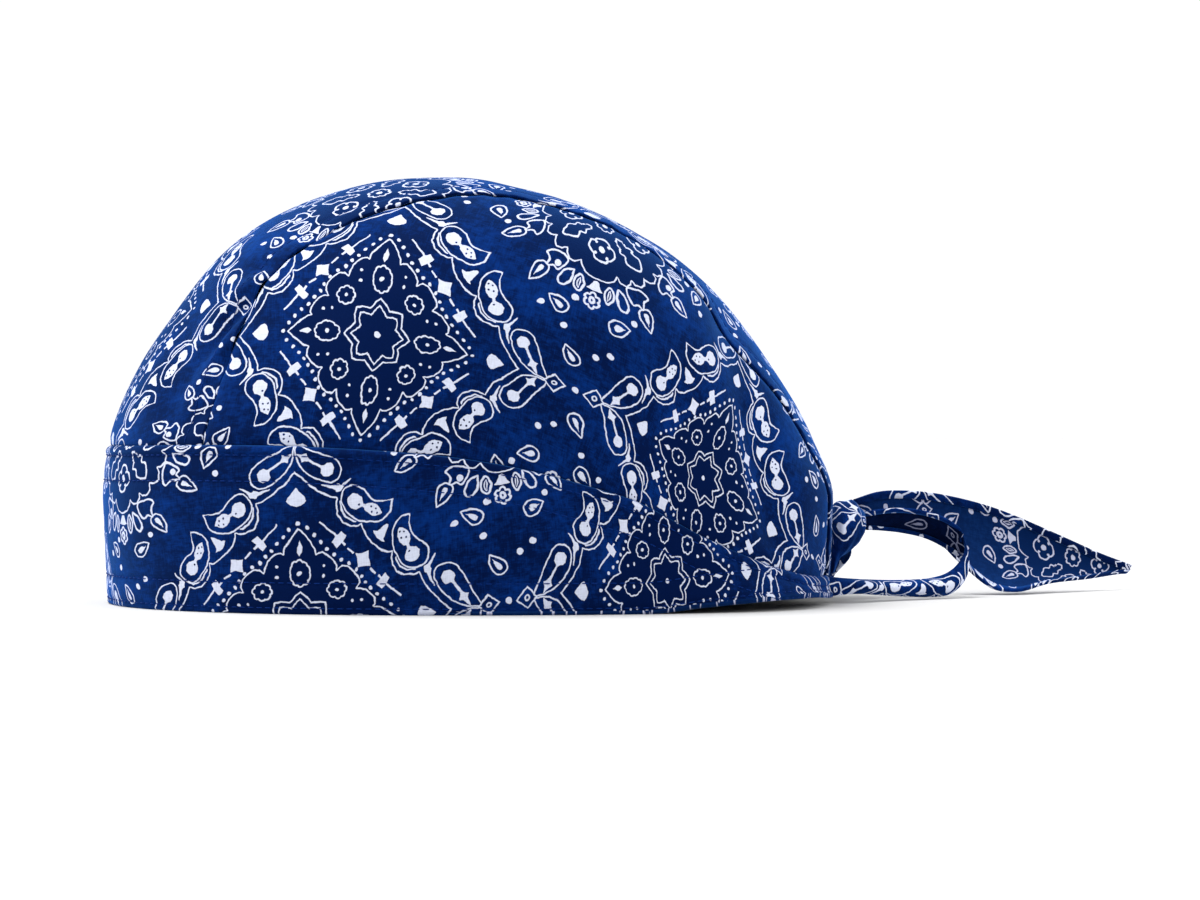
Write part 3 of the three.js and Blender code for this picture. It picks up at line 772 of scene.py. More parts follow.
foot_rows, foot_ways = band_points(loop, np.array([1.0]), 0.0)
foot_row, foot_way = foot_rows[0], foot_ways[0]
fold_rows = [foot_row - foot_way * FOLD * (1 - np.cos(a))
             + np.array([0, 0, 1.0]) * FOLD * (1 - np.sin(a))
             for a in np.radians(np.linspace(15, 165, FOLD_ROWS))]
inner, _ = band_points(loop, spaced(1, 0, INNER_ROWS)[1:], 2 * FOLD)
band_grid = np.concatenate([outer, np.stack(fold_rows), inner])
faces = np.concatenate([band_ways, np.repeat(band_ways[:1] * 0, FOLD_ROWS, 0),
                        -np.repeat(band_ways[:1], INNER_ROWS, 0)])
around = run_along(band_grid, 1)[0]
forehead_column = np.interp(0, loop[:, 0], np.arange(len(loop)))
around = around - np.interp(forehead_column, np.arange(len(around)), around)
depth = run_along(band_grid, 0)
band_cloth = np.stack([around + 0 * depth, loop[:, 2] - depth], axis=-1)
band = sheet_of("head_band", band_grid, pinned(BAND_PINS, band_cloth), outside=faces)
print("band round the head", float(around[-1] - around[0]))

# %% [markdown]
# ## Stitches
# The sewing shows as rows of short threads that sink a little into the cloth. Single curves
# would need hundreds of objects. One small ball is copied by an array instead, and each copy
# is drawn out along its line of the seam, so that a whole line of stitches is one piece.

# %% Where each stitch lies
STITCH, PITCH, THREAD = 1.9, 2.6, 0.36      # a stitch, from one to the next, and its thread
NEAR = 0.4                        # how far to each side the line's course is felt


def on_line(values, run, at):
    """Values along a line, read at places on its run."""
    return np.stack([np.interp(at, run, values[:, axis]) for axis in range(3)], axis=-1)


def stitch_places(lines):
    """Every stitch's middle, its course and the way out of the cloth."""
    middles, courses, outs = [], [], []
    for line, ways in lines:
        run = run_along(line[:, None], 0)[:, 0]
        at = np.arange(PITCH / 2, run[-1], PITCH)
        middles.append(on_line(line, run, at))
        courses.append(unit(on_line(line, run, at + NEAR) - on_line(line, run, at - NEAR)))
        outs.append(unit(on_line(ways, run, at)))
    return [np.concatenate(each)[:, None] for each in (middles, courses, outs)]


print("a stitch and its thread in millimetres", STITCH, THREAD)

# %% A row of stitches from one small ball
BLUNT = 0.6                       # a power that fills out a stitch's two ends
PROUD, DIP = 0.12, 0.22           # a stitch's middle stands proud, and its ends dip in


def stitches(name, lines):
    """lines are rows of points, each with the ways that face out of the cloth there."""
    middle, course, out = stitch_places(lines)
    bpy.ops.object.select_all(action="DESELECT")
    bpy.ops.mesh.primitive_uv_sphere_add(segments=6, ring_count=6, radius=1)
    piece = bpy.context.object
    piece.name = piece.data.name = name
    copies = piece.modifiers.new("row", "ARRAY")
    copies.count = len(middle)
    copies.use_relative_offset = False
    copies.use_constant_offset = True
    copies.constant_offset_displace = (0, 0, 0)
    bpy.ops.object.modifier_apply(modifier=copies.name)
    ball = np.zeros(len(piece.data.vertices) * 3)
    piece.data.vertices.foreach_get("co", ball)
    x, y, z = np.split(ball.reshape(len(middle), -1, 3), 3, axis=-1)
    z = np.sign(z) * np.abs(z) ** BLUNT
    place = middle + course * z * STITCH / 2 + np.cross(course, out) * x * THREAD / 2
    place = place + out * (y * THREAD / 2 + PROUD - DIP * z * z)
    piece.data.vertices.foreach_set("co", placed(place).ravel())
    piece.data.update()
    bpy.ops.object.shade_smooth()
    print(name, "stitches", len(middle))
    return piece


# %% The lines of stitches on the band and the strip
def between_rows(points, ways, heights, height):
    """The line over a grid's columns where its rows reach a height from the first one."""
    rows, out = [], []
    for column in range(points.shape[1]):
        up = heights[:, column]
        rows.append([np.interp(height, up, points[:, column, axis]) for axis in range(3)])
        out.append([np.interp(height, up, ways[:, column, axis]) for axis in range(3)])
    return np.array(rows), np.array(out)


band_faces = np.broadcast_to(band_ways, outer.shape)
band_lines = [between_rows(outer, band_faces, from_top[:-1], line) for line in TOP_LINES]
for line in LOW_LINES:
    band_lines.append(between_rows(outer[::-1], band_faces, from_foot[-2::-1], line))
band_stitches = stitches("head_band_stitches", band_lines)
strip_lines = []
for side in (-1, 1):
    points, ways = (grid.swapaxes(0, 1)[::side] for grid in (strip_points, strip_ways))
    strip_lines.append(between_rows(points, ways, run_along(points, 0), TOPSTITCH))
strip_stitches = stitches("crown_strip_stitches", strip_lines)

# %% [markdown]
# ## Ties
# The ties go on from the band's rear corners as single cloth with a narrow hem rolled to the
# inside on both edges. They could be curves with a flat profile, but a curve can't carry a
# hem or twist between its edges as cloth does. Each tie is written as a few sections across
# it, top edge, middle and bottom edge, and a smooth curve runs along each of the three.

# %% The ties' sections: side, back and up of the top edge, the middle and the bottom edge
LEFT_TIE = (
    ((28.9, 100.6, 7.8), (29, 101.2, 5.3), (29.3, 101.9, 2.6)),
    ((21, 109.2, 6.9), (25, 111.3, 5.2), (24, 110.6, 2.6)),
    ((13, 117.2, 6.2), (18, 119.2, 4.6), (17, 118.4, 1.9)),
    ((6, 127, 5.8), (11.4, 128.6, 4), (10, 127.6, 1.1)),
    ((1, 136, 6.1), (5.8, 137.6, 4), (4.6, 136.2, 0.7)),
    ((-2, 141.6, 7.4), (1.8, 143, 4.6), (1, 141.8, 1.2)),
    ((-4.4, 145.6, 10.2), (-1.4, 146.9, 6.8), (-1.8, 145.8, 3.6)),
    ((-7.6, 148.2, 14.2), (-5.4, 149, 10.4), (-5.2, 148, 6.8)),
    ((-10.4, 147.6, 19), (-9.8, 148.4, 14.8), (-9.4, 147.6, 10.9)),
    ((-9.4, 143.8, 22.7), (-12, 144.4, 18.4), (-14, 144, 14.6)),
    ((-8.2, 137.4, 25.3), (-12, 137.8, 21.4), (-15, 137.6, 18)),
    ((-7.2, 129.6, 26.5), (-11, 130, 23), (-14, 129.8, 19.8)),
    ((-6.6, 123, 26.3), (-9.4, 123, 23.4), (-11.4, 122.8, 20.5)),
    ((-6.4, 117.6, 25.4), (-7.2, 117.9, 23), (-7.6, 117.9, 20.6)))
RIGHT_TIE = (
    ((-29.2, 100.5, 7.6), (-29.3, 101.1, 5.2), (-29.6, 101.8, 2.6)),
    ((-23.6, 104.3, 8.6), (-23.8, 104.8, 5.6), (-23.6, 104.5, 1.6)),
    ((-15.6, 105.3, 10), (-15.8, 106, 5.8), (-15.6, 105.5, 1.2)),
    ((-8.4, 105.9, 10.8), (-8.4, 106.6, 6.8), (-8.6, 106.1, 2)),
    ((-3.7, 106.1, 11), (-3.4, 106.6, 7.8), (-3.6, 106.3, 3.6)))
RIGHT_TAIL = (
    ((-12.6, 115.2, 28.7), (-13.4, 117.7, 25), (-13.6, 117.8, 21)),
    ((-16.8, 122.6, 30.8), (-17.4, 123.4, 26), (-17.4, 124, 21.6)),
    ((-22, 129.6, 31.2), (-22.2, 130.4, 26), (-20.4, 131.2, 20.6)),
    ((-27, 139.6, 30.5), (-25.6, 140, 24), (-21.4, 140.6, 17.4)),
    ((-31, 149.6, 28.8), (-28.4, 149.6, 19), (-20, 149, 9.4)),
    ((-35, 160.4, 26), (-30.4, 159.6, 12.6), (-17.6, 158.2, 2)),
    ((-38.6, 169.8, 22.7), (-32.6, 168.4, 9.2), (-17.4, 165.4, 0.9)),
    ((-43, 183.8, 16.9), (-38.4, 181.4, 7.4), (-28, 178, 2.9)),
    ((-48, 197.8, 11), (-45.6, 196, 6.6), (-41, 193.4, 3.8)),
    ((-52, 208.6, 7.2), (-51.6, 207.8, 6.2), (-51, 206.8, 5.2)))
LEFT_TAIL = (
    ((-20.4, 113.2, 23.8), (-20.6, 113.8, 20.4), (-20, 114.2, 17.2)),
    ((-27, 112.6, 22), (-27.6, 114.2, 16.6), (-27, 115.6, 11.6)),
    ((-34.4, 109.6, 17.6), (-35.4, 111, 11), (-34.6, 112, 5.8)),
    ((-42, 106.4, 13), (-43.6, 109, 6.4), (-43.4, 111.6, 1.8)),
    ((-50.6, 102.6, 10.2), (-52.4, 106.4, 4), (-53.6, 110.6, 1.2)),
    ((-62, 96.8, 7.8), (-64, 101.4, 3), (-66, 107.4, 1.2)),
    ((-74, 88.6, 6), (-76, 93.4, 2.6), (-78.4, 99.6, 1.2)),
    ((-85.4, 79, 4.2), (-86, 80.6, 2.4), (-86.8, 82.6, 1.2)))
print("sections", len(LEFT_TIE), len(RIGHT_TIE), len(RIGHT_TAIL), len(LEFT_TAIL))


# %% A smooth curve through points, and a strip through its sections
def between(points, t):
    """Points on a smooth curve that slows where its marks lie close together."""
    marks = np.array(points, float)
    marks = np.concatenate([[2 * marks[0] - marks[1]], marks, [2 * marks[-1] - marks[-2]]])
    at = np.clip(t, 0, 1) * (len(points) - 1)
    row = np.minimum(at.astype(int), len(points) - 2)
    share = at - row
    knots = [marks[row + i] for i in range(4)]
    gaps = [np.maximum(np.linalg.norm(knots[i + 1] - knots[i], axis=-1) ** 0.5, 1e-6)
            for i in range(3)]

    def slope(before, here, after, gap, next_gap):
        gap, next_gap = gap[..., None], next_gap[..., None]
        return ((here - before) / gap - (after - before) / (gap + next_gap)
                + (after - here) / next_gap)

    start = slope(*knots[:3], gaps[0], gaps[1]) * gaps[1][..., None]
    end = slope(*knots[1:], gaps[1], gaps[2]) * gaps[1][..., None]
    s = share[..., None]
    change = knots[2] - knots[1]
    return (knots[1] + s * start + s ** 2 * (3 * change - 2 * start - end)
            + s ** 3 * (start + end - 2 * change))


def strip_surface(sections, t, v):
    """The strip's points: t runs along it, v from its top edge (0) to its bottom edge (1)."""
    top, middle, bottom = (between([section[i] for section in sections], t) for i in range(3))
    top, middle, bottom = top[:, None], middle[:, None], bottom[:, None]
    v = v[None, :, None]
    return top * (1 - v) * (1 - 2 * v) + middle * 4 * v * (1 - v) + bottom * v * (2 * v - 1)


left_middle = strip_surface(LEFT_TIE, spaced(0, 1, 90), np.array([0.5]))
print("left tie's length in millimetres", float(run_along(left_middle, 0)[-1, 0]))


# %% A tie with its rolled hems
TIE_ACROSS = 14                   # steps between a tie's two edges


def tie(name, sections, steps, inside, spot, angle, hem=2.0):
    """inside is 1 or -1: the way its hems are rolled. spot is the print's at its start."""
    t, v = spaced(0, 1, steps), spaced(0, 1, TIE_ACROSS)
    points = strip_surface(sections, t, v)
    ways = unit(np.cross(np.gradient(points, axis=0), np.gradient(points, axis=1))) * -inside
    length = run_along(points, 0)[:, TIE_ACROSS // 2:TIE_ACROSS // 2 + 1]
    width = run_along(points, 1)
    cloth = np.stack([length + 0 * width, -width], axis=-1)
    grids = points, cloth, ways
    for side in ("first column", "last column"):
        grids = turned_on(side, *grids, radius=0.5, turn=178, steps=6, tuck=hem)
    return sheet_of(name, grids[0], turned(grids[1], (0, 0), angle, spot=spot),
                    outside=grids[2], thickness=0.4)


left_tie = tie("left_tie_run", LEFT_TIE, steps=130, inside=1, spot=(1.2, 54.4), angle=45,
               hem=1.0)
right_tie = tie("right_tie_run", RIGHT_TIE, steps=36, inside=1, spot=(12, -20), angle=30)
right_tail = tie("right_tie_tail", RIGHT_TAIL, steps=110, inside=-1, spot=(-24.1, 67.3),
                 angle=5.6)
left_tail = tie("left_tie_tail", LEFT_TAIL, steps=90, inside=-1, spot=(20, 35), angle=55)

# %% [markdown]
# ### The half knot
# Where the ties cross, one is drawn round the other and pulled tight, so that only a short
# bulging roll shows. A knot of real strips could be modelled turn by turn, but its inside is
# never seen. A ring that grows and shrinks along a bent line gives the roll, with slight
# swellings where the cloth bunches.

# %% The half knot
# side, back and up of the roll's middle, then its width and its depth
KNOT = ((1.2, 106.2, 8.2, 8, 1.8), (1.6, 107.1, 12.4, 9.5, 3.4), (0.8, 109.8, 17, 11, 7.4),
        (-2.4, 111.6, 20.6, 12.5, 10.6), (-7, 112.2, 22.6, 12.8, 11.2),
        (-12, 112.6, 22.8, 11.6, 10.6), (-16.4, 112.8, 21.6, 9, 8.6),
        (-19, 112.8, 20.2, 5.5, 5))
KNOT_STEPS, KNOT_ROUND = 60, 48
BUNCHING = 0.05                   # how much the roll swells where the cloth bunches


def knot_surface():
    path = np.array(KNOT, float)
    t = spaced(0, 1, KNOT_STEPS)
    centre_line = between(path[:, :3], t)
    sizes = between(np.concatenate([path[:, 3:], path[:, :1] * 0], axis=1), t)
    course = unit(np.gradient(centre_line, axis=0))
    wide = unit(np.cross(np.array([0.0, 1.0, 0.0]), course))
    deep = np.cross(course, wide)
    turns = spaced(np.pi, 3 * np.pi, KNOT_ROUND)[None, :, None]
    swell = 1 + BUNCHING * np.sin(turns * 7 + t[:, None, None] * 9)
    ring = wide[:, None] * np.cos(turns) * sizes[:, None, 0:1] / 2
    ring = ring + deep[:, None] * np.sin(turns) * sizes[:, None, 1:2] / 2
    return centre_line[:, None] + ring * swell


knot_points = knot_surface()
knot_cloth = np.stack([run_along(knot_points, 0), run_along(knot_points, 1)], axis=-1)
knot_ways = knot_points - knot_points[:, :-1].mean(axis=1, keepdims=True)
knot = sheet_of("half_knot", knot_points, turned(knot_cloth, (0, 0), 105, spot=(30, 25.7)),
                outside=knot_ways)

# %% [markdown]
# ## The bandana print
# The cloth carries a traditional bandana print: stars framed by paisleys, and round medallions
# where four frames meet, with drops and dots strewn between. It could be painted on an image,
# but a picture goes blurred close up and has to be stored. Here the print is drawn by the
# material's own maths: for every spot of the cloth the nodes work out how far it lies from
# the nearest printed line. The print repeats on a square and each square is the same in all
# its eight mirrored parts, so only one eighth is ever drawn.

# %% An empty drawing, and how nodes are added and wired
drawing = bpy.data.node_groups.new("bandana_print", "ShaderNodeTree")
tree = drawing                    # the tree that new nodes are added to
drawing.interface.new_socket("Cloth", in_out="INPUT", socket_type="NodeSocketVector")
drawing.interface.new_socket("Ink", in_out="OUTPUT", socket_type="NodeSocketFloat")
drawing.interface.new_socket("Depth", in_out="OUTPUT", socket_type="NodeSocketFloat")


def add_node(kind, **settings):
    node = tree.nodes.new(kind)
    count = len(tree.nodes)
    node.location = (180 * (count // 12), -170 * (count % 12))
    for name, value in settings.items():
        setattr(node, name, value)
    return node


def feed(socket, number):
    if isinstance(number, Number):
        tree.links.new(number.socket, socket)
    else:
        socket.default_value = number


def calc(operation, *numbers, clamp=False):
    node = add_node("ShaderNodeMath", operation=operation, use_clamp=clamp)
    for socket, number in zip(node.inputs, numbers):
        feed(socket, number)
    return Number(node.outputs[0])


def turn_vector(operation, *numbers, output="Vector"):
    node = add_node("ShaderNodeVectorMath", operation=operation)
    for socket, number in zip(node.inputs, numbers):
        feed(socket, number)
    return Number(node.outputs[output])


print("inputs and outputs of the drawing", len(drawing.interface.items_tree))


# %% A node's output that reads like a number
class Number:
    """The output of a node, which reads like a number in a formula."""

    def __init__(self, socket):
        self.socket = socket

    def __add__(self, other):
        return calc("ADD", self, other)

    def __sub__(self, other):
        return calc("SUBTRACT", self, other)

    def __rsub__(self, other):
        return calc("SUBTRACT", other, self)

    def __mul__(self, other):
        return calc("MULTIPLY", self, other)

    def __abs__(self):
        return calc("ABSOLUTE", self)


def both(a, b):
    """Inside two figures at once: the larger of their distances."""
    return calc("MAXIMUM", a, b)


def either(a, b):
    """Inside one figure or the other: the smaller of their distances."""
    return calc("MINIMUM", a, b)


def pair(a, b):
    node = add_node("ShaderNodeCombineXYZ")
    feed(node.inputs[0], a)
    feed(node.inputs[1], b)
    return Number(node.outputs[0])


def parts(vector):
    node = add_node("ShaderNodeSeparateXYZ")
    feed(node.inputs[0], vector)
    return Number(node.outputs[0]), Number(node.outputs[1])


print("nodes so far", len(drawing.nodes))


# %% Curves and round spots
CURVE_LIMIT = 100                 # a curve's values stay within this, in millimetres


def curve(place, xs, ys):
    """The value of a drawn curve at a place."""
    node = add_node("ShaderNodeFloatCurve")
    mapping = node.mapping
    mapping.use_clip = True
    mapping.extend = "HORIZONTAL"
    mapping.clip_min_x, mapping.clip_max_x = min(xs), max(xs)
    mapping.clip_min_y, mapping.clip_max_y = -CURVE_LIMIT, CURVE_LIMIT
    line = mapping.curves[0]
    ends = line.points[0], line.points[1]
    ends[0].location, ends[1].location = (xs[0], ys[0]), (xs[-1], ys[-1])
    for x, y in list(zip(xs, ys))[1:-1]:
        line.points.new(float(x), float(y))
    for point in line.points:
        point.handle_type = "VECTOR"
    mapping.update()
    feed(node.inputs["Value"], place)
    return Number(node.outputs[0])


def distance_from(frame, at):
    return turn_vector("DISTANCE", frame, (*at, 0.0), output="Value")


def spot(frame, at, radius):
    """How far a place lies outside a round spot."""
    return distance_from(frame, at) - radius


def line_of(distance, half=0.2):
    """A line of ink along an outline, from the distance to it and half the line's width."""
    return abs(distance) - half


print("a curve's values stay within", CURVE_LIMIT, "millimetres")


# %% Closed figures, drawn by their reach from a middle
FLATTEST = 0.38                   # steeper outlines than this would draw their ink too thin


def closed_line(points, steps=14):
    """Points on a smooth closed line through the given ones; a repeated one is a corner."""
    marks = np.array(points, float)
    line = []
    for index in range(len(marks)):
        a, b, c, d = (marks[(index + shift) % len(marks)] for shift in (-1, 0, 1, 2))
        if np.allclose(b, c):
            continue
        for t in np.arange(steps) / steps:
            line.append(0.5 * (2 * b + (c - a) * t + (2 * a - 5 * b + 4 * c - d) * t ** 2
                               + (3 * b - a - 3 * c + d) * t ** 3))
    return np.array(line)


def reach_of(line, middle, count=145):
    """An outline's reach from its middle in every direction."""
    away = line - middle
    angles = np.arctan2(away[:, 1], away[:, 0])
    order = np.argsort(angles)
    at = np.linspace(-np.pi, np.pi, count)
    lengths = np.hypot(*away.T)
    return at, np.interp(at, angles[order], lengths[order], period=2 * np.pi)


def polar(length, angle, at, reach):
    """How far a spot lies outside an outline, measured square to the outline."""
    lean = np.cos(np.arctan(np.gradient(reach, at) / reach))
    lean = np.clip(lean, FLATTEST, 1)
    return (length - curve(angle, at, reach)) * curve(angle, at, lean)


def outside_of(frame, line, middle):
    """How far a place lies outside a closed line round a middle."""
    local = turn_vector("SUBTRACT", frame, (*middle, 0.0))
    x, y = parts(local)
    length = turn_vector("LENGTH", local, output="Value")
    at, reach = reach_of(line, np.array(middle, float))
    return polar(length, calc("ARCTAN2", y, x), at, reach)


def figure(frame, outline, middle):
    return outside_of(frame, closed_line(outline), middle)


def flower(frame, middle, long, wide, petals, dent):
    """A small flower: an oval, long and wide from its middle, dented between its petals."""
    turns = np.radians(np.arange(0, 360, 4))
    rim = 1 - dent * (1 - np.abs(np.sin(turns * petals / 2 + np.pi / 2))) ** 1.3
    outline = np.stack([middle[0] + long * rim * np.cos(turns),
                        middle[1] + wide * rim * np.sin(turns)], axis=-1)
    return outside_of(frame, outline, middle)


print("points on a closed line through three", len(closed_line(((0, 0), (1, 0), (0, 1)))))


# %% Figures along a line
def beside(along, across, widths):
    """A figure that is even on both sides of a line: widths are (place, half width) rows."""
    places, halves = zip(*widths)
    return abs(across) - curve(along, places, halves)


def spindle(frame, start, end, widths):
    """The same along a slanting line from start to end."""
    start, end = np.array(start, float), np.array(end, float)
    way = (end - start) / np.linalg.norm(end - start)
    side = np.array([-way[1], way[0]])
    along = turn_vector("DOT_PRODUCT", frame, (*way, 0.0), output="Value") - float(start @ way)
    across = turn_vector("DOT_PRODUCT", frame, (*side, 0.0), output="Value")
    return beside(along, across - float(start @ side), widths)


print("helpers ready, nodes", len(drawing.nodes))

# %% One eighth of the repeat, in three frames
DIAGONAL = 0.7071                 # the side of a square whose diagonal is one
coords = add_node("NodeGroupInput")
cell = turn_vector("WRAP", Number(coords.outputs[0]), (REPEAT / 2,) * 3, (-REPEAT / 2,) * 3)
x, y = parts(turn_vector("ABSOLUTE", cell))
axis, off_axis = both(x, y), either(x, y)               # along a star's arm, and off it
real_x, real_y = parts(cell)
handed = calc("SIGN", real_x * real_y * (x - y))        # 1 and -1 on an arm's two sides
star_frame = pair(axis, off_axis)
side_along = (axis - off_axis) * DIAGONAL               # along a frame's side from its middle
side_out = (axis + off_axis) * DIAGONAL                 # out from the star's middle
side_frame = pair(side_along, side_out)
round_axis, round_off = REPEAT / 2 - off_axis, REPEAT / 2 - axis
round_frame = pair(round_axis, round_off)               # about a medallion's middle
handed_frame = pair(round_axis, round_off * handed)     # with an arm's two sides told apart
print("nodes that fold the cloth", len(drawing.nodes))

# %% [markdown]
# ### The star and its frame
# The star's rim, its scalloped border and the flowers are drawn by their reach from a middle.
# Crosses, hearts and leaves are drawn by their width along a line. A line of ink is where the
# distance to an outline is less than half the line's width.

# %% The star, its border, flowers and dots
star_length = turn_vector("LENGTH", star_frame, output="Value")
star_angle = calc("ARCTAN2", off_axis, axis)
octant = np.radians(np.linspace(0, 45, 61))
# degrees off the arm, reach
STAR = ((0, 9.4), (10, 8.2), (19, 7.4), (22.5, 7.2), (26, 7.5), (35, 8.3), (45, 9.1))
BORDER = ((0, 25.9), (4, 24.3), (7.5, 22.6), (10.5, 20.9), (12.2, 19.7), (13.5, 20.3), (17, 20.7),
          (21, 20.3), (26, 19.7), (30.5, 18.6), (32.8, 17.6), (34.5, 19.0), (38, 19.8),
          (41.5, 20.0), (45, 20.0))


def eighth(table, length, angle):
    degrees, reach = np.array(table, float).T
    return polar(length, angle, octant, np.interp(np.degrees(octant), degrees, reach))


star = eighth(STAR, star_length, star_angle)
border = eighth(BORDER, star_length, star_angle)
ink = either(line_of(star), line_of(star + 1.5))
ink = either(ink, line_of(border))
ink = either(ink, line_of(flower(star_frame, (9.7, 9.7), 2.6, 2.6, 8, 0.14)))
ink = either(ink, line_of(flower(star_frame, (14.6, 0.0), 3.7, 2.5, 10, 0.1)))
for at, size in (((0.0, 0.0), 0.85), ((9.7, 9.7), 0.5), ((14.6, 0.0), 0.55),
                 ((13.7, 6.1), 0.42), ((16.3, 6.1), 0.42)):
    ink = either(ink, spot(star_frame, at, size))
DOT = 0.5                         # a border dot's radius
DOTS = ((27.3, 0.0), (26.1, 2.4), (24.2, 4.1), (22.3, 5.7), (20.5, 7.2), (19.0, 9.0),
        (17.4, 10.7), (16.3, 12.7), (14.7, 14.7))
nearest = spot(star_frame, DOTS[0], DOT)
for dot in DOTS[1:]:
    nearest = either(nearest, spot(star_frame, dot, DOT))
ink = either(ink, nearest)
print("nodes with the star", len(drawing.nodes))

# %% Leaf and heart on the arm, and the barred line across the side
# these tables give a place along a line and half the figure's width there
ARM = ((18.6, -0.4), (19.3, 0.1), (20.2, 0.6), (21.4, 0.6), (23.2, -0.05), (24, -1),
       (31.2, -1), (31.7, 0.9), (32.2, 1.9), (32.9, 2.5), (33.8, 2.2), (34.9, 1.3), (36, 0.3),
       (36.6, -0.6))
ink = either(ink, beside(axis, off_axis, ARM))
BAR = ((2.9, -0.6), (3.0, 0.28), (5.2, 0.28), (5.3, -0.4), (6.2, -0.4), (6.3, 0.3), (7.5, 0.32),
       (7.6, 2.0), (9.6, 1.9), (9.7, 0.28), (15.4, 0.22), (15.6, -0.6))
ink = either(ink, beside(side_along, side_out - 23.5, BAR))
square = both(abs(axis - 16.9), abs(off_axis - 16.9))
corner = either(abs(axis - 16.9), abs(off_axis - 16.9))
ink = either(ink, square - 1.55 - corner * 0.14)
print("nodes with the arm", len(drawing.nodes))

# %% The frame's line, its corner leaf and its small square
# place along the side from its middle, the line's distance from the star
SIDE = ((0, 28.5), (3, 28.8), (5, 29.7), (6, 30.6), (6.7, 29.2), (8, 28.0), (10.3, 27.4),
        (12.8, 27.9), (14.6, 29.4), (15.5, 30.9), (17, 30.1), (20, 29.1), (24, 28.6),
        (28.45, 28.45), (30, 28.4))
places, lines = (np.array(column, float) for column in zip(*SIDE))
along = np.linspace(0, 30, 121)
across = np.interp(along, places, lines)
lean = np.cos(np.arctan(np.gradient(across, along)))
side_line = side_out - curve(side_along, along, across)
frame_line = line_of(side_line * curve(side_along, along, np.clip(lean, 0.5, 1)))
ink = either(ink, frame_line)
accent = both(line_of(side_line - 1.6, 0.26), abs(side_along - 11.0) - 3.4)
ink = either(ink, accent)
LEAF = ((47.9, 0.3), (47.9, 0.3), (44.6, 0.4), (41.4, 1.7), (39.0, 4.4), (37.3, 7.2), (36.9, 9.8),
        (37.9, 11.7), (39.9, 12.3), (42.0, 11.4), (43.8, 9.0), (45.2, 6.2), (46.2, 3.8),
        (47.4, 2.0))
ink = either(ink, line_of(figure(star_frame, LEAF, (41.0, 6.8))))
STALK = ((-0.6, -1), (0, 0.3), (0.6, 1.3), (1.7, 1.7), (2.8, 1.4), (3.4, 0.5), (3.8, 0.3),
         (7.2, 0.28), (8.0, 0.7), (8.6, 1.5), (9.4, 0.7), (11, 0.15), (11.6, -0.3))
ink = either(ink, spindle(star_frame, (39.2, 10.0), (44.7, 1.4), STALK))
square = both(abs(side_along - 35.2), abs(side_out - 35.2))
ink = either(ink, line_of(square - 1.85))
ink = either(ink, line_of(spot(star_frame, (49.8, 0.0), 0.5)))
print("nodes with the frame", len(drawing.nodes))

# %% Paisleys, and the star between them
PAISLEY = ((3.2, 40.4), (3.2, 40.4), (1.9, 38.2), (1.7, 36.2), (2.4, 34.2), (4.2, 32.2),
           (7.0, 30.8), (9.8, 30.1), (12.2, 30.2), (14.2, 31.2), (15.2, 33.2), (14.9, 35.3),
           (13.4, 36.8), (11.2, 37.2), (8.8, 37.0), (6.6, 37.3), (4.8, 38.6))
ink = either(ink, line_of(figure(side_frame, PAISLEY, (7.2, 34.2))))
SEEDS = ((-0.3, -1), (0, 0.4), (0.6, 1.5), (1.8, 2.0), (3.0, 1.7), (3.7, 0.9), (4.2, 0.4),
         (5.0, 0.45), (5.6, 1.1), (6.8, 1.55), (8.4, 1.5), (9.4, 0.9), (10.2, 0.1), (10.6, -0.6))
seeds = spindle(side_frame, (13.0, 33.0), (3.4, 35.9), SEEDS)
for pip in ((6.6, 35.4), (5.6, 34.4), (5.2, 35.9), (4.2, 35.2), (9.9, 33.6)):
    seeds = both(seeds, 0.27 - distance_from(side_frame, pip))
ink = either(ink, seeds)
LITTLE_STAR = ((30.0, -1), (30.4, 0.8), (31.0, 2.3), (31.7, 1.4), (32.8, 1.0), (33.8, 0.8),
               (34.9, 0.2), (35.3, -0.6))
ink = either(ink, beside(side_out, side_along, LITTLE_STAR))
SPUR = ((-0.4, -0.5), (0, 0.12), (3.2, 0.45), (4.4, 1.0), (5.2, 0.4), (5.8, -0.4))
ink = either(ink, spindle(side_frame, (20.8, 30.6), (15.4, 34.0), SPUR))
TWIG = ((-0.4, -0.5), (0, 0.3), (1.2, 0.9), (2.2, 0.4), (5.2, 0.15), (5.8, -0.4))
ink = either(ink, spindle(side_frame, (16.8, 31.9), (15.7, 37.4), TWIG))
print("nodes with the paisleys", len(drawing.nodes))

# %% [markdown]
# ### The medallion and what is strewn round it
# A medallion stands where the corners of four frames meet. It has a scalloped rim, a bell of
# leaves and a flower on each of its four sides, and flowers and oak leaves inside. Drops with
# a filled heart and dots lie round it. One distance gives a drop both its outline and, a
# little further in, its heart.

# %% The medallion's rim, flowers and leaves
rim_length = turn_vector("LENGTH", round_frame, output="Value")
rim_angle = calc("ARCTAN2", round_off, round_axis)
RIM = ((0, 20.4), (8, 20.2), (13, 19.2), (16.5, 17.8), (19, 19.3), (24, 20.0), (29, 19.2),
       (31, 18.0), (33, 19.4), (38, 20.4), (42, 19.8), (45, 18.6))
rim = eighth(RIM, rim_length, rim_angle)
ink = either(ink, line_of(rim))
ink = either(ink, line_of(flower(round_frame, (11.2, 0.0), 3.6, 3.9, 4, 0.2), 0.26))
for at, size in (((12.9, 1.7), 0.42), ((9.4, 1.8), 0.42), ((11.2, 0.0), 0.95), ((0.0, 0.0), 0.9)):
    ink = either(ink, spot(round_frame, at, size))
ink = either(ink, line_of(flower(round_frame, (0.0, 0.0), 3.2, 3.2, 8, 0.2), 0.26))
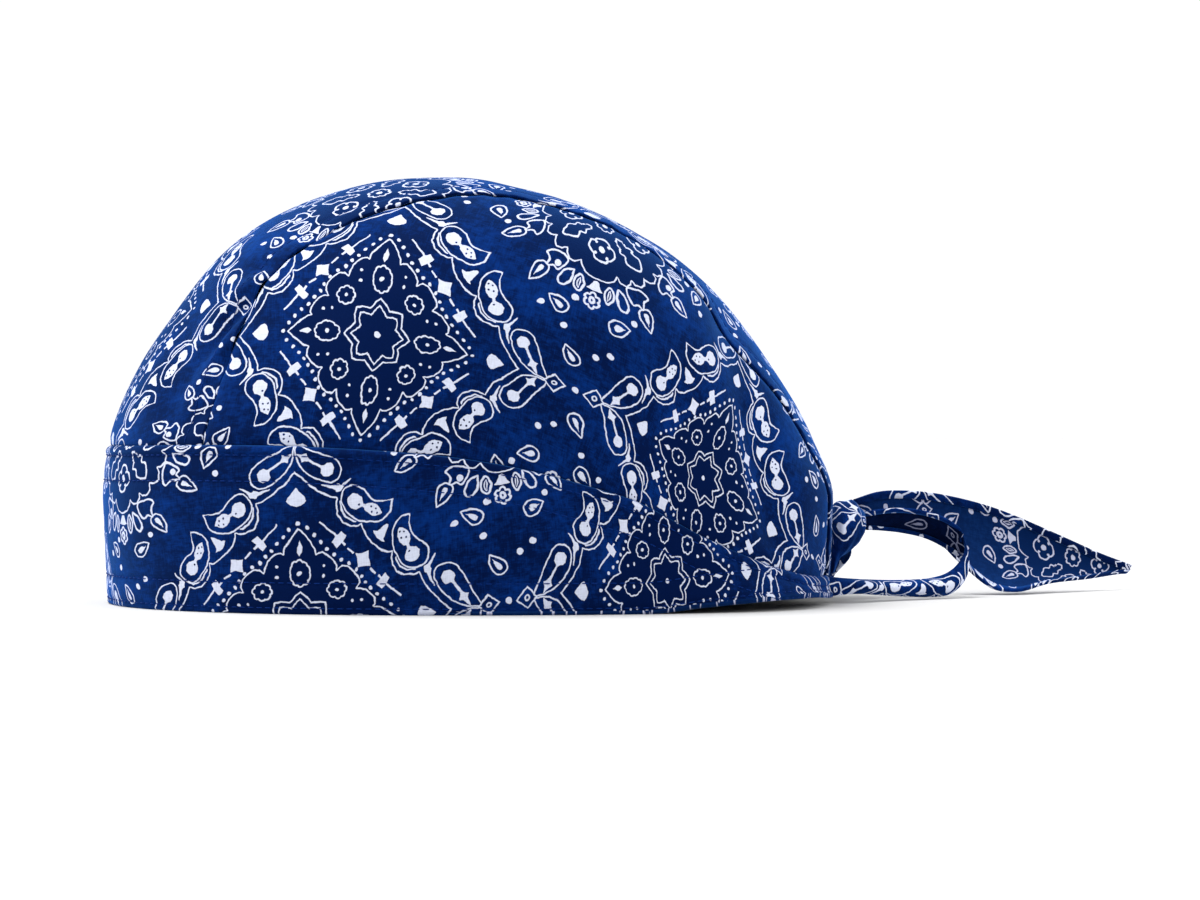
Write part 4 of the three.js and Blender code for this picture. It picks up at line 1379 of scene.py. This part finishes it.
OAK = ((4.0, 4.0), (4.0, 4.0), (6.2, 4.1), (6.6, 5.3), (8.6, 5.2), (9.2, 6.8), (11.2, 7.6),
       (11.6, 11.6), (7.6, 11.2), (6.8, 9.2), (5.2, 8.6), (5.3, 6.6), (4.1, 6.2))
ink = either(ink, line_of(figure(round_frame, OAK, (8.0, 8.0)), 0.26))
print("nodes with the medallion", len(drawing.nodes))

# %% The bells on the medallion's sides
BELL = ((20.6, -0.9), (20.9, -0.6), (21.2, 0.7), (22.0, 1.1), (23.0, 1.7), (23.6, 2.3),
        (24.0, -0.5))
ink = either(ink, beside(round_axis, round_off, BELL))
ink = either(ink, line_of(flower(round_frame, (26.9, 0.0), 2.3, 2.3, 6, 0.25), 0.28))
ink = either(ink, line_of(spot(round_frame, (26.9, 0.0), 0.75), 0.4))
EYE = ((21.2, 4.2), (23.2, 2.9), (25.4, 3.6), (25.8, 4.6), (23.6, 5.6))
eye = figure(round_frame, EYE, (23.5, 4.2))
ink = either(ink, either(line_of(eye, 0.26), line_of(eye + 0.95, 0.2)))
LOOP = ((20.6, 6.0), (20.6, 6.0), (23.0, 6.2), (25.6, 7.6), (25.9, 9.0), (24.4, 9.6),
        (22.0, 8.4))
ink = either(ink, line_of(figure(round_frame, LOOP, (23.6, 7.8)), 0.28))
JAGGED = ((18.3, 8.6), (20.4, 8.8), (22.6, 10.6), (21.8, 12.0), (22.3, 13.6), (20.2, 13.4),
          (18.6, 14.4), (17.4, 12.4))
ink = either(ink, line_of(figure(round_frame, JAGGED, (19.8, 11.4)), 0.27))
print("nodes with the bells", len(drawing.nodes))

# %% Drops and dots
HEART = 1.25                      # how far inside a drop's outline its filled heart starts
# the frame, a middle, and the outline round it
DROPS = (
    (round_frame, (31.6, 7.4), ((30.0, 11.0), (30.0, 11.0), (29.4, 8.6), (29.8, 6.4), (31.6, 5.2),
                                (33.5, 6.2), (33.6, 8.2), (32.0, 9.8))),
    (handed_frame, (45.6, 2.0), ((42.0, 4.2), (42.0, 4.2), (44.0, 4.2), (46.6, 3.6),
                                 (47.9, 1.8), (47.0, 0.2), (45.0, 0.2), (43.2, 1.8))),
    (round_frame, (24.0, 14.8), ((27.6, 16.8), (27.6, 16.8), (25.2, 17.0), (22.8, 16.4),
                                 (21.8, 14.8), (22.8, 13.0), (24.8, 12.9), (26.4, 14.6))))
for frame_used, middle, outline in DROPS:
    drop = figure(frame_used, outline, middle)
    ink = either(ink, either(line_of(drop, 0.22), drop + HEART))
for at in ((28.2, 4.4), (20.8, 11.0), (36.9, 5.6), (33.0, 12.6), (42.6, -3.3), (27.6, -12.0),
           (40.4, -7.2), (54.8, 0.0)):
    ink = either(ink, spot(handed_frame, at, 0.9))
print("nodes with drops and dots", len(drawing.nodes))

# %% From distances to ink
SOFTNESS = 0.12                   # over how many millimetres a line's edge fades
covered = calc("MULTIPLY_ADD", ink, -1 / SOFTNESS, 0.5, clamp=True)
# the dye looks deeper inside a star's border and a medallion's rim, where ink stands close
deep = calc("MULTIPLY_ADD", either(border, rim), -0.2, 0.4, clamp=True)
result = add_node("NodeGroupOutput")
feed(result.inputs["Ink"], covered)
feed(result.inputs["Depth"], deep)
print("nodes in the whole drawing", len(drawing.nodes))

# %% [markdown]
# ## Cotton
# The cloth is plain-woven cotton, dyed blue with the print left white, a little chalky where
# light grazes it. Its inside shows the same print paler, because the dye hardly goes through.
# A tiled picture would give one face only. Here one recipe reads the same drawing for each
# face. Noise at several sizes gives the dye its clouds, the threads their slubs and the surface
# its grain, and a slow wobble with a quick tremble keeps the printed lines from looking ruled.

# %% Noise and blending
def noise(cloth, across, along, detail=2.0, roughness=0.6, output="Fac"):
    """Noise on the cloth, by how many of its waves a millimetre holds each way."""
    place = turn_vector("MULTIPLY", cloth, (across, along, 0.0))
    node = add_node("ShaderNodeTexNoise", noise_dimensions="2D")
    feed(node.inputs["Vector"], place)
    feed(node.inputs["Scale"], 1.0)
    feed(node.inputs["Detail"], detail)
    feed(node.inputs["Roughness"], roughness)
    return Number(node.outputs[output])


def blend(share, first, second):
    node = add_node("ShaderNodeMix", data_type="RGBA")
    colours = [socket for socket in node.inputs if socket.type == "RGBA"]
    feed(node.inputs[0], share)
    for socket, colour in zip(colours, (first, second)):
        feed(socket, colour if isinstance(colour, Number) else (*colour, 1.0))
    return Number([socket for socket in node.outputs if socket.type == "RGBA"][0])


print("materials so far", len(bpy.data.materials))

# %% The printed cotton
def cotton(name, dark, light, white, ink_share, sheen):
    """A printed cotton: its dye from dark to light, and how much of the ink comes through."""
    global tree
    made = bpy.data.materials.new(name)
    made.use_nodes = True
    tree = made.node_tree
    shader = tree.nodes["Principled BSDF"]
    cloth = turn_vector("MULTIPLY", Number(add_node("ShaderNodeUVMap").outputs[0]),
                        (1 / MM, 1 / MM, 0.0))

    # the printed lines stray by up to half a millimetre and tremble by about a tenth
    wobble = noise(cloth, 0.16, 0.16, output="Color")
    wobble = turn_vector("MULTIPLY_ADD", wobble, (1.3, 1.3, 0.0), (-0.83, -0.83, 0.0))
    tremble = noise(cloth, 0.8, 0.8, output="Color")
    wobble = turn_vector("MULTIPLY_ADD", tremble, (0.36, 0.36, 0.0), wobble)
    motif = add_node("ShaderNodeGroup", node_tree=drawing)
    feed(motif.inputs[0], turn_vector("ADD", cloth, wobble))
    ink, depth = Number(motif.outputs["Ink"]), Number(motif.outputs["Depth"])

    # the dye is cloudy and mottled, follows the threads, and is worn where they are thin
    warp = noise(cloth, 2.6, 0.3)
    weft = noise(cloth, 0.3, 2.6)
    threads = warp + weft
    clouds = noise(cloth, 0.06, 0.06, detail=5.0)
    mottle = noise(cloth, 0.42, 0.55, detail=3.0)
    shade = calc("MULTIPLY_ADD", clouds, 1.6, -1.1)
    shade = calc("MULTIPLY_ADD", mottle, 1.1, shade)
    shade = calc("MULTIPLY_ADD", threads, 0.7, shade - 0.7)
    shade = calc("SUBTRACT", shade, depth, clamp=True)
    dye = blend(shade, dark, light)
    worn = calc("MULTIPLY_ADD", threads, 0.35, 0.6, clamp=True)
    feed(shader.inputs["Base Color"], blend(ink * worn * ink_share, dye, white))

    grain = add_node("ShaderNodeBump")
    feed(grain.inputs["Strength"], 0.3)
    feed(grain.inputs["Distance"], 0.15 * MM)
    feed(grain.inputs["Height"], threads)
    feed(shader.inputs["Normal"], Number(grain.outputs[0]))
    feed(shader.inputs["Roughness"], calc("MULTIPLY_ADD", clouds, 0.2, 0.75))
    shader.inputs["Specular IOR Level"].default_value = 0.02      # cotton hardly shines
    shader.inputs["Sheen Weight"].default_value = sheen           # but its fuzz catches light
    shader.inputs["Sheen Roughness"].default_value = 0.4
    shader.inputs["Sheen Tint"].default_value = (0.05, 0.28, 1.0, 1)
    print(name, "nodes", len(tree.nodes))
    return made


# %% Its face, its reverse, and the left tie's inside darkened as painted shade
face = cotton("printed_cotton_face", dark=(0.0004, 0.006, 0.046), light=(0.0016, 0.028, 0.188),
              white=(0.64, 0.68, 0.82), ink_share=1.0, sheen=0.42)
reverse = cotton("printed_cotton_reverse", dark=(0.0012, 0.012, 0.066),
                 light=(0.0035, 0.026, 0.125), white=(0.52, 0.54, 0.70), ink_share=0.9,
                 sheen=0.25)
# painted shade: the same reverse cloth made much darker, for the shade inside the left tie's loop
tie_inside_painted_shade = cotton("printed_cotton_tie_inside", dark=(0.0003, 0.003, 0.02),
                    light=(0.0008, 0.008, 0.05), white=(0.28, 0.30, 0.44), ink_share=0.85,
                    sheen=0.1)

# %% [markdown]
# ### Thread
# The stitches are sewn with a navy thread that is twisted from thinner ones. The twist could
# be modelled as two strands, but at a third of a millimetre it only shows as a slanting
# stripe. So a band pattern set slantwise gives each stitch its lighter and darker ply and a
# slight relief.

# %% Thread
thread = bpy.data.materials.new("navy_thread")
thread.use_nodes = True
tree = thread.node_tree
shader = tree.nodes["Principled BSDF"]
twist = add_node("ShaderNodeTexWave", wave_type="BANDS", bands_direction="DIAGONAL")
feed(twist.inputs["Vector"], Number(add_node("ShaderNodeTexCoord").outputs["UV"]))
feed(twist.inputs["Scale"], 3.0)
ply = Number(twist.outputs["Fac"])
feed(shader.inputs["Base Color"], blend(ply, (0.0008, 0.012, 0.085), (0.002, 0.034, 0.24)))
raised = add_node("ShaderNodeBump")
feed(raised.inputs["Strength"], 0.5)
feed(raised.inputs["Distance"], 0.1 * MM)
feed(raised.inputs["Height"], ply)
feed(shader.inputs["Normal"], Number(raised.outputs["Normal"]))
shader.inputs["Roughness"].default_value = 0.55
shader.inputs["Specular IOR Level"].default_value = 0.05
print("thread nodes", len(tree.nodes))

# %% [markdown]
# ## What each piece stands for
# A piece of clothing is only useful to others if they can tell its parts. Each cloth piece is
# listed with the node of the frame that it takes the place of, a slot, the size that it was cut
# to, its cut area and how it is held; of these only the node is used, and its piece is hidden.
# The stitches are listed with the sheet they are sewn into. Kept here, the list can't drift away.

# %% Put each piece in place of its node
# piece, the node it replaces, its slot, its flat size and cut area, and how it is held
PIECES = (
    (centre, "centre_panel", "crown_cotton", (0.125, 0.340), 0.030, "stretched"),
    (left_side, "left_panel", "crown_cotton", (0.195, 0.115), 0.0165, "stretched"),
    (right_side, "right_panel", "crown_cotton", (0.195, 0.115), 0.0165, "stretched"),
    (band, "band", "band_cotton", (0.096, 0.540), 0.037, "folded"),
    (left_tie, "left_tie", "tie_cotton", (0.012, 0.090), None, "laid"),
    (right_tie, "right_tie", "tie_cotton", (0.012, 0.030), None, "laid"),
    (knot, "tie_knot", "tie_cotton", (0.030, 0.036), None, "folded"),
    (right_tail, "right_tail", "tie_cotton", (0.030, 0.110), 0.0022, "laid"),
    (left_tail, "left_tail", "tie_cotton", (0.017, 0.085), None, "laid"),
)
SEWN = {"head_band": band_stitches, "crown_centre_strip": strip_stitches}
for piece, node, slot, flat, area, held in PIECES:
    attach(piece, "root")
    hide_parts(node)
    sewn = [SEWN[piece.name]] if piece.name in SEWN else []
    piece.data.materials[0] = face
    # the left tie's inside takes the darkened cotton, painted shade for the inside of its loop
    piece.data.materials[1] = tie_inside_painted_shade if piece is left_tie else reverse
    for row in sewn:
        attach(row, "root")
        row.data.materials.append(thread)
print("pieces", len(PIECES), "and rows of stitches", len(SEWN))

# %% [markdown]
# ## Floor and lights
# The cap stands on plain white paper in a bright, soft light that leaves the room white and
# only a narrow shadow under the cloth. A ready-made sky would give it coloured light. Two
# large softboxes, a wide lamp like a white ceiling and a pale world, brighter on one side,
# keep the blue even and still show which way the crown turns.

# %% Paper floor
bpy.ops.object.select_all(action="DESELECT")
bpy.ops.mesh.primitive_plane_add(size=40, location=(0, 0, 0))
floor = bpy.context.object
floor.name = "floor"
paper = bpy.data.materials.new("white_paper")
paper.use_nodes = True
shader = paper.node_tree.nodes["Principled BSDF"]
shader.inputs["Base Color"].default_value = (0.57, 0.57, 0.57, 1)
shader.inputs["Roughness"].default_value = 0.9
floor.data.materials.append(paper)
print("floor", floor.name)

# %% A pale world, brighter on one side
world = bpy.data.worlds.new("studio")
bpy.context.scene.world = world
world.use_nodes = True
tree = world.node_tree
ahead = Number(add_node("ShaderNodeTexCoord").outputs["Generated"])
wall = calc("MULTIPLY_ADD", parts(ahead)[0], -1.2, 0.9, clamp=True)
light = tree.nodes["Background"]
feed(light.inputs["Color"], (1, 1, 1, 1))
feed(light.inputs["Strength"], calc("MULTIPLY_ADD", wall, 0.64, 0.4))
bpy.context.scene.view_settings.view_transform = "Standard"
print("world", world.name, "nodes", len(tree.nodes))


# %% Softboxes and ceiling
def lamp(kind, name, place, way, power):
    bpy.ops.object.select_all(action="DESELECT")
    bpy.ops.object.light_add(type=kind, location=place)
    made = bpy.context.object
    made.name = name
    made.data.energy = power
    made.rotation_euler = Vector(way).to_track_quat("-Z", "Y").to_euler()
    print("lamp", name, "power", power)
    return made.data


def softbox(name, place, power, size=0.9):
    lamp("AREA", name, place, -Vector(place), power).size = size


softbox("softbox_front", (0.1, -1.6, 0.9), 11)
softbox("softbox_rear", (1.3, 1.3, 0.9), 14)
ceiling = lamp("SUN", "white_ceiling", (0, 0, 2), (0.1, 0.35, -1.0), 3.15)
ceiling.angle = np.radians(35)
